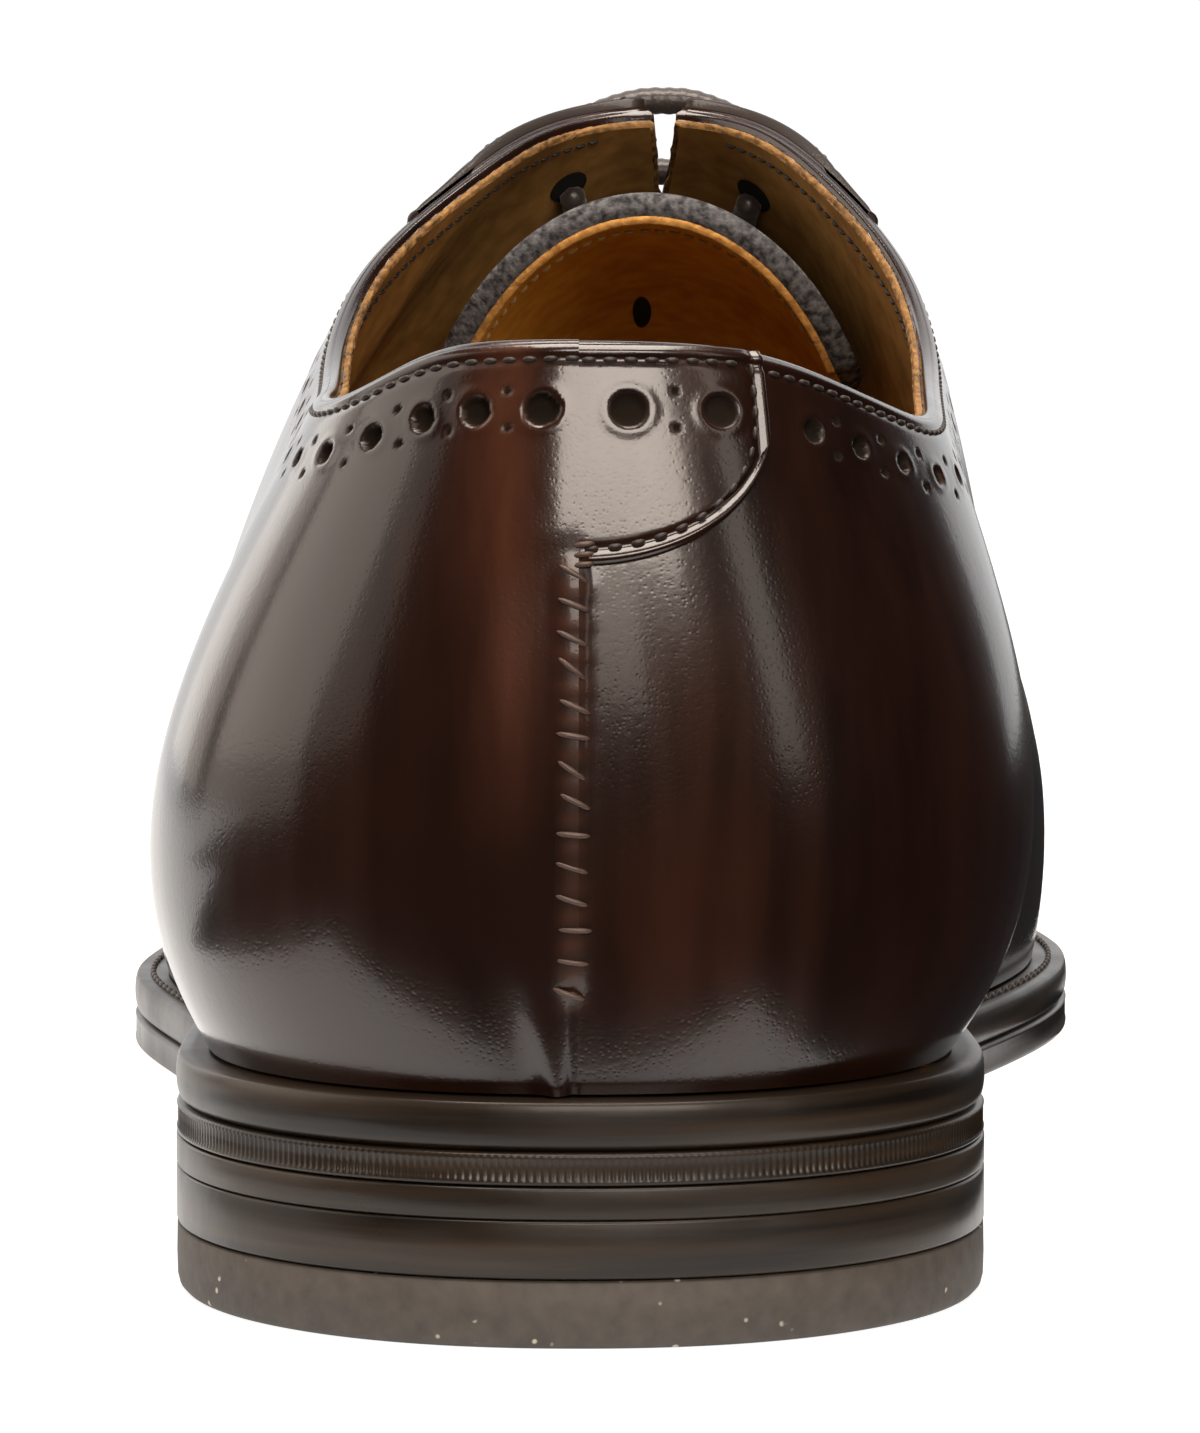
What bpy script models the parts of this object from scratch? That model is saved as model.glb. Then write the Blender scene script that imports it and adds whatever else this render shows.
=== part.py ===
"""A left oxford shoe, standing empty on heel and forefoot.

All shape functions work in millimetres: "along" runs from the back of the heel to
the toe, x runs from the lateral side (negative) to the medial side (positive), and
z is the height above the floor. place() turns them into metres, with the origin on
the floor under the middle of the shoe and +Y towards the toe.
"""

import bmesh
import bpy
import numpy as np

# Driving dimensions, in millimetres
LENGTH = 300.0
HEEL_BREAST = 66.0
TOP_PIECE = 5.6
LOWER_LIFT = 4.5
UPPER_LIFT = 2.4
OUTSOLE_HEEL, OUTSOLE_TREAD = 2.5, 3.0
WELT = 3.9
INSOLE_ABOVE_WELT = 3.0
WELT_STRIP = 11.0
WALL = 2.2
TONGUE_WALL = 3.0
OVERLAY = 1.0
GAP = 0.3
LACE_DIAMETER = 2.6
EYELET_HOLE_RADIUS = 1.8
MM = 0.001
MERGE = 1e-6

LATERAL, MEDIAL = -1, 1
SIDES = {"lateral": LATERAL, "medial": MEDIAL}

# Plain colours and roughness of the solids
LEATHER_FINISH = ((0.045, 0.020, 0.013), 0.25)
SOLE_FINISH = ((0.022, 0.016, 0.012), 0.35)
RUBBER_FINISH = ((0.045, 0.036, 0.030), 0.7)
LINING_FINISH = ((0.36, 0.16, 0.045), 0.6)
CORD_FINISH = ((0.03, 0.018, 0.014), 0.6)

# Where the parts of the upper begin and end, along the shoe
FACING_TOP = 109.0
THROAT_END = 172.0
EYELETS = (114.0, 126.0, 138.0, 150.0, 162.0)
EYELET_FROM_EDGE = 9.8
EYELET_SIDES = 10
# How far the cutter of an eyelet reaches inwards and outwards
EYELET_DEPTH, EYELET_HEIGHT = 6.0, 5.0
# Points of a lace bar, by distance from the ridge line, and how much higher the top bar bows
LACE_POINTS = np.array((10.0, 7.0, 4.0, 1.0))
TOP_BAR_BOW = 0.9

# Sections of the upper: the heel turn, even steps, close steps to the facing, the toe turn
HEEL_TURN_END, TOE_TURN_START = 36.0, 236.0
COLLAR_STEPS = (44.0, 52.0, 60.0, 68.0, 76.0, 84.0, 92.0)
FACING_STEPS = (97.0, 101.0, 104.5, 107.0, 108.3, 108.8)

# The sole from below: flat tread, waist and toe spring
TREAD_START, TREAD_END, TOE_SPRING = 146.0, 222.0, 10.0
HEEL_SEAT = TOP_PIECE + LOWER_LIFT + UPPER_LIFT + 3 * GAP
# Rounded edges of the layers: how far in, and how far up or down
LIFT_EASE = 0.35
TOP_PIECE_EASE, TOP_PIECE_EASE_UP = 0.9, 1.0
OUTSOLE_EASE, OUTSOLE_INSET = 0.7, 0.15
WELT_EASE, WELT_EASE_DOWN = 0.9, 1.0
# How many sections each layer has along the shoe
HEEL_SECTIONS, OUTSOLE_SECTIONS, WELT_SECTIONS, INSOLE_SECTIONS = 16, 44, 40, 36

# Round ends of an outline: how deep each end is, and its superellipse power
HEEL_DEPTH, TOE_DEPTH, HEEL_POWER, TOE_POWER = 35.0, 62.0, 2.15, 2.05
# The toe box rounds down to the welt over this length
TOE_BOX_DEPTH, TOE_BOX_POWER = 36.0, 2.3

# Edge of the sole in plan: half-widths from the centre line, before the ends are rounded
SOLE = dict(zip(("along", "centre", "lateral", "medial"), np.array((
    (0.0, 0.0, 34.5, 34.5),
    (35.0, 0.0, 34.5, 34.5),
    (70.0, 0.0, 33.8, 31.8),
    (110.0, 0.5, 35.0, 28.5),
    (150.0, 1.5, 43.0, 38.5),
    (185.0, 2.0, 51.3, 49.8),
    (205.0, 2.5, 51.0, 51.6),
    (230.0, 3.0, 47.5, 48.5),
    (260.0, 4.0, 41.5, 42.0),
    (300.0, 6.0, 33.5, 33.5),
)).T))

# The last in cross-section: one Bezier a side from the welt to the ridge line, which
# runs on above the collar. inset: welt showing outside the foot of the wall. top,
# centre, top_half: the ridge. swell, rise: handle at the foot. reach, drop: handle at
# the ridge. Names that end in _l are lateral, in _m medial.
LAST = dict(zip(
    ("along", "inset", "top", "centre", "top_half", "swell_l", "swell_m", "rise_l", "rise_m",
     "reach_l", "reach_m", "drop_l", "drop_m"),
    np.array((
        (3.0, 3.0, 128.0, 0.0, 8.0, 18.0, 18.0, 29.0, 29.0, 8.0, 8.0, 52.0, 52.0),
        (30.0, 2.8, 128.0, 2.0, 7.0, 19.4, 19.6, 31.5, 25.6, 1.4, 15.4, 46.5, 50.2),
        (58.0, 2.6, 126.6, 4.5, 3.0, 23.6, 19.5, 20.9, 19.6, 3.2, 19.6, 23.5, 29.5),
        (80.0, 2.6, 116.2, 5.4, 1.8, 21.0, 18.4, 19.2, 20.2, 13.6, 26.2, 7.0, 12.6),
        (95.0, 2.6, 108.2, 6.8, 1.8, 23.6, 17.7, 19.8, 19.0, 15.8, 25.0, 5.4, 10.0),
        (109.0, 2.6, 100.8, 8.0, 1.65, 24.0, 16.3, 20.2, 19.8, 21.8, 23.8, 1.6, 5.0),
        (125.0, 2.7, 92.6, 7.6, 0.6, 18.7, 14.5, 22.0, 23.0, 20.2, 25.0, 1.0, 1.6),
        (145.0, 3.0, 82.6, 7.0, 0.45, 13.5, 11.4, 24.0, 28.0, 20.0, 27.0, 0.0, 0.0),
        (168.0, 3.5, 71.2, 6.5, 0.4, 9.4, 9.4, 25.0, 32.0, 21.0, 32.3, 0.0, 0.0),
        (185.0, 3.7, 64.0, 5.8, 0.4, 8.0, 7.5, 24.0, 33.4, 23.0, 36.2, 0.0, 0.0),
        (205.0, 3.9, 56.6, 4.9, 0.4, 6.6, 5.2, 22.0, 26.8, 24.0, 32.8, 0.0, 0.0),
        (235.0, 4.1, 49.3, 4.5, 0.4, 3.6, 3.2, 20.0, 22.0, 24.0, 27.0, 0.0, 0.0),
        (260.0, 4.2, 44.8, 4.6, 0.4, 2.4, 2.2, 18.0, 18.0, 21.0, 22.0, 0.0, 0.0),
        (280.0, 4.2, 41.8, 4.8, 0.4, 1.8, 1.6, 16.5, 16.5, 17.0, 17.0, 0.0, 0.0),
        (300.0, 4.2, 39.5, 5.5, 0.4, 1.4, 1.4, 15.0, 15.0, 14.0, 14.0, 0.0, 0.0),
    )).T))

# Height at which the collar is cut out of the last
COLLAR = dict(zip(("along", "height"), np.array((
    (0.0, 81.0), (6.0, 80.4), (12.0, 78.9), (20.0, 76.9), (30.0, 75.3), (45.0, 74.4),
    (55.0, 75.2), (66.0, 78.2), (80.0, 86.0), (92.0, 93.2), (102.0, 98.4), (109.0, 100.8),
)).T))

# How far the back of the heel leans forward of its foot at each height
BACK = dict(zip(("along", "lean"), np.array((
    (20.0, 0.0), (30.0, -1.9), (42.0, -2.8), (55.0, -2.2), (70.0, 0.4), (81.0, 3.0), (128.0, 14.0)
)).T))
BACK_REACH = 62.0

# Outer edge of the eyestay: distance down the section from the ridge line
EYESTAY = dict(zip(("along", "width"), np.array((
    (88.0, 30.5), (96.0, 26.0), (104.0, 22.8), (112.0, 20.8), (122.0, 19.8),
    (138.0, 19.0), (156.0, 17.8), (172.0, 16.0), (179.0, 13.6), (184.0, 9.8), (187.5, 3.0),
)).T))
EYESTAY_FROM_EDGE = 0.3

# The heel tab that laps from the lateral quarter over the back seam: its stations on the
# lateral side, where it thins out, begin and end at these shares of its reach
TAB_ALONG, TAB_STRAIGHT, TAB_DROP, TAB_POWER = 4.2, 6.0, 18.0, 2.2
TAB_LATERAL_START, TAB_LATERAL_END = 0.8, 0.2
TAB_THINNEST = 0.3

# The tongue: ridge line below the facings, half-width and fall of its edges. Its arch is
# part of an ellipse, and the corners at its top fall back until TONGUE_CORNER_END.
TONGUE_ARCH = 0.72
TONGUE_CORNER, TONGUE_CORNER_END, TONGUE_CORNER_RUN, TONGUE_CORNER_POWER = 9.0, 100.0, 14.0, 4
TONGUE = dict(zip(("along", "height", "centre", "half", "fall"), np.array((
    (86.0, 92.7, 6.1, 19.9, 16.0),
    (100.0, 89.7, 6.9, 19.8, 14.5),
    (118.0, 84.0, 7.8, 18.0, 12.5),
    (140.0, 75.4, 7.2, 16.0, 10.0),
    (160.0, 66.8, 6.8, 14.0, 8.0),
    (178.0, 59.8, 6.4, 11.0, 5.0),
)).T))


def read(table, name, along):
    """Natural cubic spline through one column of a table, flat beyond its ends."""
    x, y = table["along"], table[name]
    step = np.diff(x)
    count = len(x)
    matrix, right = np.eye(count), np.zeros(count)
    inner = np.arange(1, count - 1)
    matrix[inner, inner - 1] = step[:-1]
    matrix[inner, inner] = 2 * (step[:-1] + step[1:])
    matrix[inner, inner + 1] = step[1:]
    right[inner] = 6 * np.diff(np.diff(y) / step)
    bend = np.linalg.solve(matrix, right)
    along = np.clip(np.asarray(along, float), x[0], x[-1])
    i = np.clip(np.searchsorted(x, along, side="right") - 1, 0, count - 2)
    h = step[i]
    a, b = (x[i + 1] - along) / h, (along - x[i]) / h
    curved = ((a**3 - a) * bend[i] + (b**3 - b) * bend[i + 1]) * h * h / 6
    return a * y[i] + b * y[i + 1] + curved


def bezier(v, a, b, c, d):
    """Cubic Bezier value at v from 0 to 1."""
    u = 1 - v
    return a * u**3 + 3 * b * u * u * v + 3 * c * u * v * v + d * v**3


def round_end(distance, depth, power):
    """Superellipse factor from 0 at the very end to 1 at its depth."""
    t = np.clip(1 - distance / depth, 0.0, 1.0)
    return np.maximum(1 - t**power, 0.0) ** (1 / power)


def ease(t):
    """Smooth step from 0 to 1."""
    t = np.clip(t, 0.0, 1.0)
    return t * t * t * (t * (6 * t - 15) + 10)


def tread(along):
    """Height of the outsole's underside: heel seat, waist, flat tread, toe spring."""
    waist = 1 - ease((along - HEEL_BREAST) / (TREAD_START - HEEL_BREAST))
    spring = np.maximum(along - TREAD_END, 0.0) / (LENGTH - TREAD_END)
    return HEEL_SEAT * waist + TOE_SPRING * spring**2


def outsole_top(along):
    """Height of the outsole's upper face: thinner at the heel than at the tread."""
    share = ease((along - HEEL_BREAST) / (TREAD_START - HEEL_BREAST))
    return tread(along) + OUTSOLE_HEEL + (OUTSOLE_TREAD - OUTSOLE_HEEL) * share


def feather(along):
    """Height of the seam where the upper stands on the welt."""
    return outsole_top(along) + WELT + 2 * GAP


def outline(along, side, inset, heel_inset, toe_inset):
    """x of a line that lies inset inside the edge of the sole, with round ends."""
    half = read(SOLE, "lateral" if side == LATERAL else "medial", along) - inset
    heel = round_end(along - heel_inset, HEEL_DEPTH - heel_inset, HEEL_POWER)
    toe = round_end(LENGTH - toe_inset - along, TOE_DEPTH - toe_inset, TOE_POWER)
    return read(SOLE, "centre", along) + side * half * heel * toe


def sole_edge(along, side, inset):
    """x of an outline that lies one inset inside the edge of the sole."""
    return outline(along, side, inset, inset, inset)


def foot_edge(along, side, inside=0.0):
    """x of the upper's foot on the welt, or of a line inside it."""
    first, last = LAST["inset"][0] + inside, LAST["inset"][-1] + inside
    return outline(along, side, read(LAST, "inset", along) + inside, first, last)


def last_handles(along, side):
    """x and z of the four Bezier points of each section of the last."""
    mark = "_l" if side == LATERAL else "_m"
    from_heel = along - LAST["inset"][0]
    from_toe = LENGTH - LAST["inset"][-1] - along
    toe_box = round_end(from_toe, TOE_BOX_DEPTH, TOE_BOX_POWER)
    heel = round_end(from_heel, HEEL_DEPTH, HEEL_POWER)
    swell = heel * round_end(from_toe, TOE_DEPTH, TOE_POWER)
    foot_x, foot_z = foot_edge(along, side), feather(along)
    height = (read(LAST, "top", along) - foot_z) * toe_box
    at_sole = read(SOLE, "centre", along)
    middle = at_sole + (read(LAST, "centre", along) * heel - at_sole) * ease(toe_box)
    half = np.where(along <= THROAT_END, read(LAST, "top_half", along), 0.0) * heel
    x = (
        foot_x,
        foot_x + side * read(LAST, "swell" + mark, along) * swell,
        middle + side * (half + read(LAST, "reach" + mark, along) * swell),
        middle + side * half,
    )
    z = (
        foot_z,
        foot_z + read(LAST, "rise" + mark, along) * toe_box,
        foot_z + height - read(LAST, "drop" + mark, along),
        foot_z + height,
    )
    return x, z


def collar_share(along, side):
    """Bezier parameter at which each section ends: the collar cut, or the ridge."""
    z = last_handles(along, side)[1]
    cut_height = read(COLLAR, "height", along)
    low, high = np.zeros_like(along), np.ones_like(along)
    for _ in range(40):
        middle = (low + high) / 2
        below = bezier(middle, *z) < cut_height
        low, high = np.where(below, middle, low), np.where(below, high, middle)
    return np.where(along < FACING_TOP, high, 1.0)


def last_point(along, side, w):
    """Outer face of the whole last, from its foot at w = 0 to the ridge line at w = 1."""
    x, z = last_handles(along, side)
    height = bezier(w, *z)
    fade = np.clip(1 - along / BACK_REACH, 0.0, 1.0) ** 2
    y = along + fade * read(BACK, "lean", height)
    return np.stack(np.broadcast_arrays(bezier(w, *x), y, height), axis=-1)


def last_normal(along, side, w):
    """Outward unit normal of the last, from two short chords."""
    step, share = 0.05, 0.004
    low, high = np.clip(w - share, 0, 1), np.clip(w + share, 0, 1)
    up = last_point(along, side, high) - last_point(along, side, low)
    back, front = np.maximum(along - step, LAST["inset"][0]), along + step
    ahead = last_point(front, side, w) - last_point(back, side, w)
    normal = np.cross(ahead, up) * side
    return normal / np.linalg.norm(normal, axis=-1, keepdims=True)


def down_section(along, side, distance, top):
    """w of the point that lies this far down the section from the point at w = top."""
    found = []
    for s, d, w_top in zip(np.ravel(along), np.ravel(distance), np.ravel(top)):
        w = np.linspace(w_top, 0.0, 160)
        section = last_point(np.full_like(w, s), side, w)
        run = np.r_[0.0, np.cumsum(np.linalg.norm(np.diff(section, axis=0), axis=1))]
        found.append(np.interp(d, run, w))
    return np.reshape(found, np.shape(along))


def place(points):
    """Shoe millimetres to metres in the part's frame."""
    widest = np.linspace(0.0, LENGTH, 601)
    left, right = sole_edge(widest, LATERAL, 0.0).min(), sole_edge(widest, MEDIAL, 0.0).max()
    return (np.asarray(points, float) - ((left + right) / 2, LENGTH / 2, 0.0)) * MM


def finish(name, colour, roughness):
    """A plain Principled material."""
    material = bpy.data.materials.new(name)
    material.use_nodes = True
    shader = material.node_tree.nodes["Principled BSDF"]
    shader.inputs["Base Color"].default_value = (*colour, 1.0)
    shader.inputs["Roughness"].default_value = roughness
    return material


def add_mesh(name, points, faces, material, sharp_angle=40.0):
    """One object from points and faces, with doubled points merged."""
    mesh = bpy.data.meshes.new(name)
    mesh.from_pydata(place(points).tolist(), [], faces)
    work = bmesh.new()
    work.from_mesh(mesh)
    bmesh.ops.remove_doubles(work, verts=work.verts, dist=2e-6)
    bmesh.ops.dissolve_degenerate(work, edges=work.edges, dist=1e-7)
    work.to_mesh(mesh)
    work.free()
    mesh.materials.append(material)
    mesh.shade_smooth()
    mesh.set_sharp_from_angle(angle=np.radians(sharp_angle))
    obj = bpy.data.objects.new(name, mesh)
    bpy.context.scene.collection.objects.link(obj)
    return obj


def turn_out(obj):
    """Points the faces of a closed mesh outwards."""
    work = bmesh.new()
    work.from_mesh(obj.data)
    bmesh.ops.recalc_face_normals(work, faces=work.faces)
    work.to_mesh(obj.data)
    work.free()
    return obj


def grid_faces(rows, columns, first=0, flip=False):
    """Quads of a grid of points that is stored row by row."""
    quads = []
    for i in range(rows - 1):
        for j in range(columns - 1):
            a = first + i * columns + j
            quad = (a, a + columns, a + columns + 1, a + 1)
            quads.append(quad[::-1] if flip else quad)
    return quads


def lofted(name, sections, material, loop=False):
    """A closed solid through section rings of equal count. loop joins last to first."""
    sections = np.asarray(sections, float)
    count, around = sections.shape[:2]
    faces = []
    for i in range(count if loop else count - 1):
        for j in range(around):
            after, nxt = (i + 1) % count, (j + 1) % around
            faces.append((
                i * around + j, i * around + nxt, after * around + nxt, after * around + j
            ))
    if not loop:
        faces.append(tuple(range(around)))
        faces.append(tuple((count - 1) * around + j for j in range(around))[::-1])
    return turn_out(add_mesh(name, sections.reshape(-1, 3), faces, material))


def end_spaced(count):
    """Shares from 0 to 1 that crowd towards both ends."""
    return (1 - np.cos(np.linspace(0.0, np.pi, count))) / 2


def heel_layer(name, material, profile, base):
    """A layer of the heel from back to breast: rows are (inset from the edge, height)."""
    turn = 1 - np.cos(np.linspace(0.0, np.pi / 2, HEEL_SECTIONS))
    rows = []
    for side, order in ((LATERAL, profile), (MEDIAL, profile[::-1])):
        for inset, rise in order:
            along = inset + (HEEL_BREAST - inset) * turn
            z = np.full_like(along, base + rise)
            rows.append(np.stack([sole_edge(along, side, inset), along, z], axis=-1))
    lofted(name, np.stack(rows, axis=1), material)


def lift_profile(height):
    """Section of a leather lift with both edges eased."""
    return (
        (LIFT_EASE, 0.0),
        (0.0, LIFT_EASE),
        (0.0, height - LIFT_EASE),
        (LIFT_EASE, height),
    )


def make_heel(leather, rubber):
    """Two leather lifts on a rubber top piece."""
    rubber_profile = ((TOP_PIECE_EASE, 0.0), (0.0, TOP_PIECE_EASE_UP), (0.0, TOP_PIECE))
    heel_layer("heel_top_piece", rubber, rubber_profile, 0.0)
    base = TOP_PIECE + GAP
    heel_layer("heel_lift_lower", leather, lift_profile(LOWER_LIFT), base)
    base = base + LOWER_LIFT + GAP
    heel_layer("heel_lift_upper", leather, lift_profile(UPPER_LIFT), base)


def make_outsole(material):
    """The outsole runs from heel seat to toe, its lower edge rounded off.

    Rows of its profile are the inset, the share of the thickness and a lift.
    """
    along_share = end_spaced(OUTSOLE_SECTIONS)
    profile = (
        (OUTSOLE_EASE, 0.0, 0.0),
        (OUTSOLE_INSET, 0.0, OUTSOLE_EASE),
        (OUTSOLE_INSET, 1.0, 0.0),
    )
    rows = []
    for side in SIDES.values():
        loops = []
        for inset, share, lift in profile:
            along = inset + (LENGTH - 2 * inset) * along_share
            z = tread(along) + share * (outsole_top(along) - tread(along)) + lift
            loops.append(np.stack([sole_edge(along, side, inset), along, z], axis=-1))
        rows += loops if side == LATERAL else loops[::-1]
    lofted("outsole", np.stack(rows, axis=1), material)


def make_welt(material):
    """A strip round the whole edge, rounded where it shows above."""
    share = end_spaced(WELT_SECTIONS)
    profile = (
        (0.0, 0.0),
        (0.0, WELT - WELT_EASE_DOWN),
        (WELT_EASE, WELT),
        (WELT_STRIP, WELT),
        (WELT_STRIP, 0.0),
    )
    rings = {}
    for side in SIDES.values():
        loops = []
        for inset, rise in profile:
            along = inset + (LENGTH - 2 * inset) * share
            z = outsole_top(along) + GAP + rise
            loops.append(np.stack([sole_edge(along, side, inset), along, z], axis=-1))
        rings[side] = np.stack(loops, axis=1)
    ring = np.concatenate([rings[LATERAL], rings[MEDIAL][-2:0:-1]])
    lofted("welt", ring, material, loop=True)


def make_insole(material):
    """The insole fills the welt's ring and lies inside the foot of the upper."""
    share = end_spaced(INSOLE_SECTIONS)
    plug = WELT_STRIP + GAP
    side_gap = WALL + 2 * GAP
    rows = []
    for side in SIDES.values():
        loops = []
        along = plug + (LENGTH - 2 * plug) * share
        for rise in (GAP, WELT + 2 * GAP):
            z = outsole_top(along) + rise
            loops.append(np.stack([sole_edge(along, side, plug), along, z], axis=-1))
        start, end = LAST["inset"][0] + side_gap, LENGTH - LAST["inset"][-1] - side_gap
        along = start + (end - start) * share
        for rise in (WELT + 2 * GAP, WELT + 2 * GAP + INSOLE_ABOVE_WELT):
            z = outsole_top(along) + rise
            x = foot_edge(along, side, side_gap)
            loops.append(np.stack([x, along, z], axis=-1))
        rows += loops if side == LATERAL else loops[::-1]
    lofted("insole", np.stack(rows, axis=1), material)


def upper_stations():
    """Stations of the upper, close together where its edge turns."""
    heel, toe = LAST["inset"][0], LENGTH - LAST["inset"][-1]
    quarter = np.linspace(0.0, np.pi / 2, 10)
    return np.concatenate([
        heel + (HEEL_TURN_END - heel) * (1 - np.cos(quarter)),
        COLLAR_STEPS,
        FACING_STEPS,
        np.linspace(FACING_TOP, THROAT_END, 10),
        np.linspace(THROAT_END, TOE_TURN_START, 8)[1:],
        toe - (toe - TOE_TURN_START) * (1 - np.sin(quarter[1:])),
    ])


def eyelet_frame(side, along):
    """Middle of an eyelet on the outer face, and the outward normal there."""
    s = np.array([along])
    w = down_section(s, side, np.array([EYELET_FROM_EDGE]), np.ones(1))
    return last_point(s, side, w)[0], last_normal(s, side, w)[0]


def hole_rings(middle, normal):
    """Inner and outer ring of points of one eyelet hole."""
    across = np.cross(normal, (0.0, 1.0, 0.0))
    across = across / np.linalg.norm(across)
    other = np.cross(normal, across)
    turn = np.linspace(0.0, 2 * np.pi, EYELET_SIDES, endpoint=False)[:, None]
    ring = middle + EYELET_HOLE_RADIUS * (across * np.cos(turn) + other * np.sin(turn))
    return ring - EYELET_DEPTH * normal, ring + EYELET_HEIGHT * normal


def eyelet_cutter():
    """All the eyelet holes as one cutter."""
    points, faces = [], []
    for side in SIDES.values():
        for along in EYELETS:
            middle, normal = eyelet_frame(side, along)
            inner, outer = hole_rings(middle, normal)
            low = len(points)
            high = low + EYELET_SIDES
            points += [*inner, *outer]
            for j in range(EYELET_SIDES):
                nxt = (j + 1) % EYELET_SIDES
                faces.append((low + j, low + nxt, high + nxt, high + j))
            faces.append(tuple(range(low, high))[::-1])
            faces.append(tuple(range(high, high + EYELET_SIDES)))
    cutter = add_mesh("eyelet_cutter", points, faces, None)
    turn_out(cutter)
    cutter.hide_render = True
    cutter.display_type = "WIRE"
    return cutter


def cut(obj, cutter):
    """Boolean difference that stays on the object."""
    modifier = obj.modifiers.new("eyelet_holes", "BOOLEAN")
    modifier.operation = "DIFFERENCE"
    modifier.object = cutter


def thicken(obj, thickness, outwards):
    """Solidify that stays on the object."""
    modifier = obj.modifiers.new("wall", "SOLIDIFY")
    modifier.thickness = thickness * MM
    modifier.offset = 1.0 if outwards else -1.0
    modifier.use_even_offset = False


def make_upper(leather, cutter):
    """Quarters and vamp as one hollow wall, open at collar, throat and foot."""
    along = upper_stations()[:, None]
    v = np.linspace(0.0, 1.0, 12)[None, :]
    points, faces = [], []
    for side in SIDES.values():
        grid = last_point(along, side, v * collar_share(along, side))
        faces += grid_faces(*grid.shape[:2], first=len(points), flip=side == LATERAL)
        points += grid.reshape(-1, 3).tolist()
    obj = add_mesh("upper", points, faces, leather, 60.0)
    thicken(obj, WALL, outwards=False)
    cut(obj, cutter)


def make_eyestay(leather, cutter):
    """The U-shaped facing that is laid over the quarters round the throat."""
    along = np.concatenate([
        EYESTAY["along"][0] + (FACING_TOP - EYESTAY["along"][0]) * np.linspace(0, 1, 10) ** 0.8,
        np.linspace(FACING_TOP, THROAT_END, 10)[1:],
        np.linspace(THROAT_END, EYESTAY["along"][-1], 6)[1:],
    ])[:, None]
    across = np.linspace(0.0, 1.0, 6)[None, :]
    points, faces = [], []
    for side in SIDES.values():
        top = collar_share(along, side)
        inner = down_section(along, side, np.full_like(along, EYESTAY_FROM_EDGE), top)
        inner = np.where(along < THROAT_END - MERGE, inner, 1.0)
        outer = down_section(along, side, read(EYESTAY, "width", along), np.ones_like(along))
        w = inner + (np.minimum(outer, inner - 0.01) - inner) * across
        base = along + 0 * w
        grid = last_point(base, side, w) + GAP * last_normal(base, side, w)
        joined = (along > THROAT_END - MERGE) & (across < MERGE)
        middle = read(LAST, "centre", along) + 0 * w
        grid[..., 0] = np.where(joined, middle, grid[..., 0])
        faces += grid_faces(*grid.shape[:2], first=len(points), flip=side == MEDIAL)
        points += grid.reshape(-1, 3).tolist()
    obj = add_mesh("eyestay", points, faces, leather, 60.0)
    thicken(obj, OVERLAY, outwards=True)
    cut(obj, cutter)


def make_heel_tab(leather):
    """The lateral quarter's tab that laps over the back seam and ends in a round corner.

    It is full thick on the medial side and thins out on the lateral side.
    """
    lateral = -np.linspace(TAB_LATERAL_START, TAB_LATERAL_END, 6)
    share = np.r_[lateral, np.linspace(0.0, 1.0, 9)]
    fall = np.linspace(0.0, 1.0, 6)
    low, high = [], []
    for q in share:
        side = LATERAL if q < 0 else MEDIAL
        along = np.full_like(fall, LAST["inset"][0] + TAB_ALONG * max(q * q, 1e-4))
        round_corner = max(1 - max(q, 0.0) ** TAB_POWER, 0.0) ** (1 / TAB_POWER)
        bottom = TAB_STRAIGHT + (TAB_DROP - TAB_STRAIGHT) * round_corner
        top = collar_share(along, side)
        w = down_section(along, side, EYESTAY_FROM_EDGE + (bottom - EYESTAY_FROM_EDGE) * fall, top)
        full = ease(1 + min(q, 0.0) / TAB_LATERAL_START)
        thick = OVERLAY * (TAB_THINNEST + (1 - TAB_THINNEST) * full)
        point, normal = last_point(along, side, w), last_normal(along, side, w)
        low.append(point + GAP * normal)
        high.append(point + (GAP + thick) * normal)
    rings = [np.concatenate([a, b[::-1]]) for a, b in zip(low, high)]
    lofted("heel_tab", rings, leather)


def make_tongue(leather):
    """A curved sheet under the facings that leans back into the collar."""
    along = np.linspace(TONGUE["along"][0], TONGUE["along"][-1], 15)
    across = np.linspace(-1.0, 1.0, 13)
    rings = []
    for s in along:
        half, fall = read(TONGUE, "half", s), read(TONGUE, "fall", s)
        drop = fall * (1 - np.sqrt(1 - TONGUE_ARCH * across**2)) / (1 - np.sqrt(1 - TONGUE_ARCH))
        corner = np.clip((TONGUE_CORNER_END - s) / TONGUE_CORNER_RUN, 0.0, 1.0)
        start = s + TONGUE_CORNER * corner * across**TONGUE_CORNER_POWER
        x = read(TONGUE, "centre", s) + half * across
        z = read(TONGUE, "height", s) - drop
        slant = np.gradient(z, x)
        normal = np.stack([-slant, 0 * slant, 1 + 0 * slant], axis=-1)
        normal /= np.linalg.norm(normal, axis=-1, keepdims=True)
        top = np.stack([x, start, z], axis=-1)
        rings.append(np.concatenate([top, (top - TONGUE_WALL * normal)[::-1]]))
    lofted("tongue", rings, leather)


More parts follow.
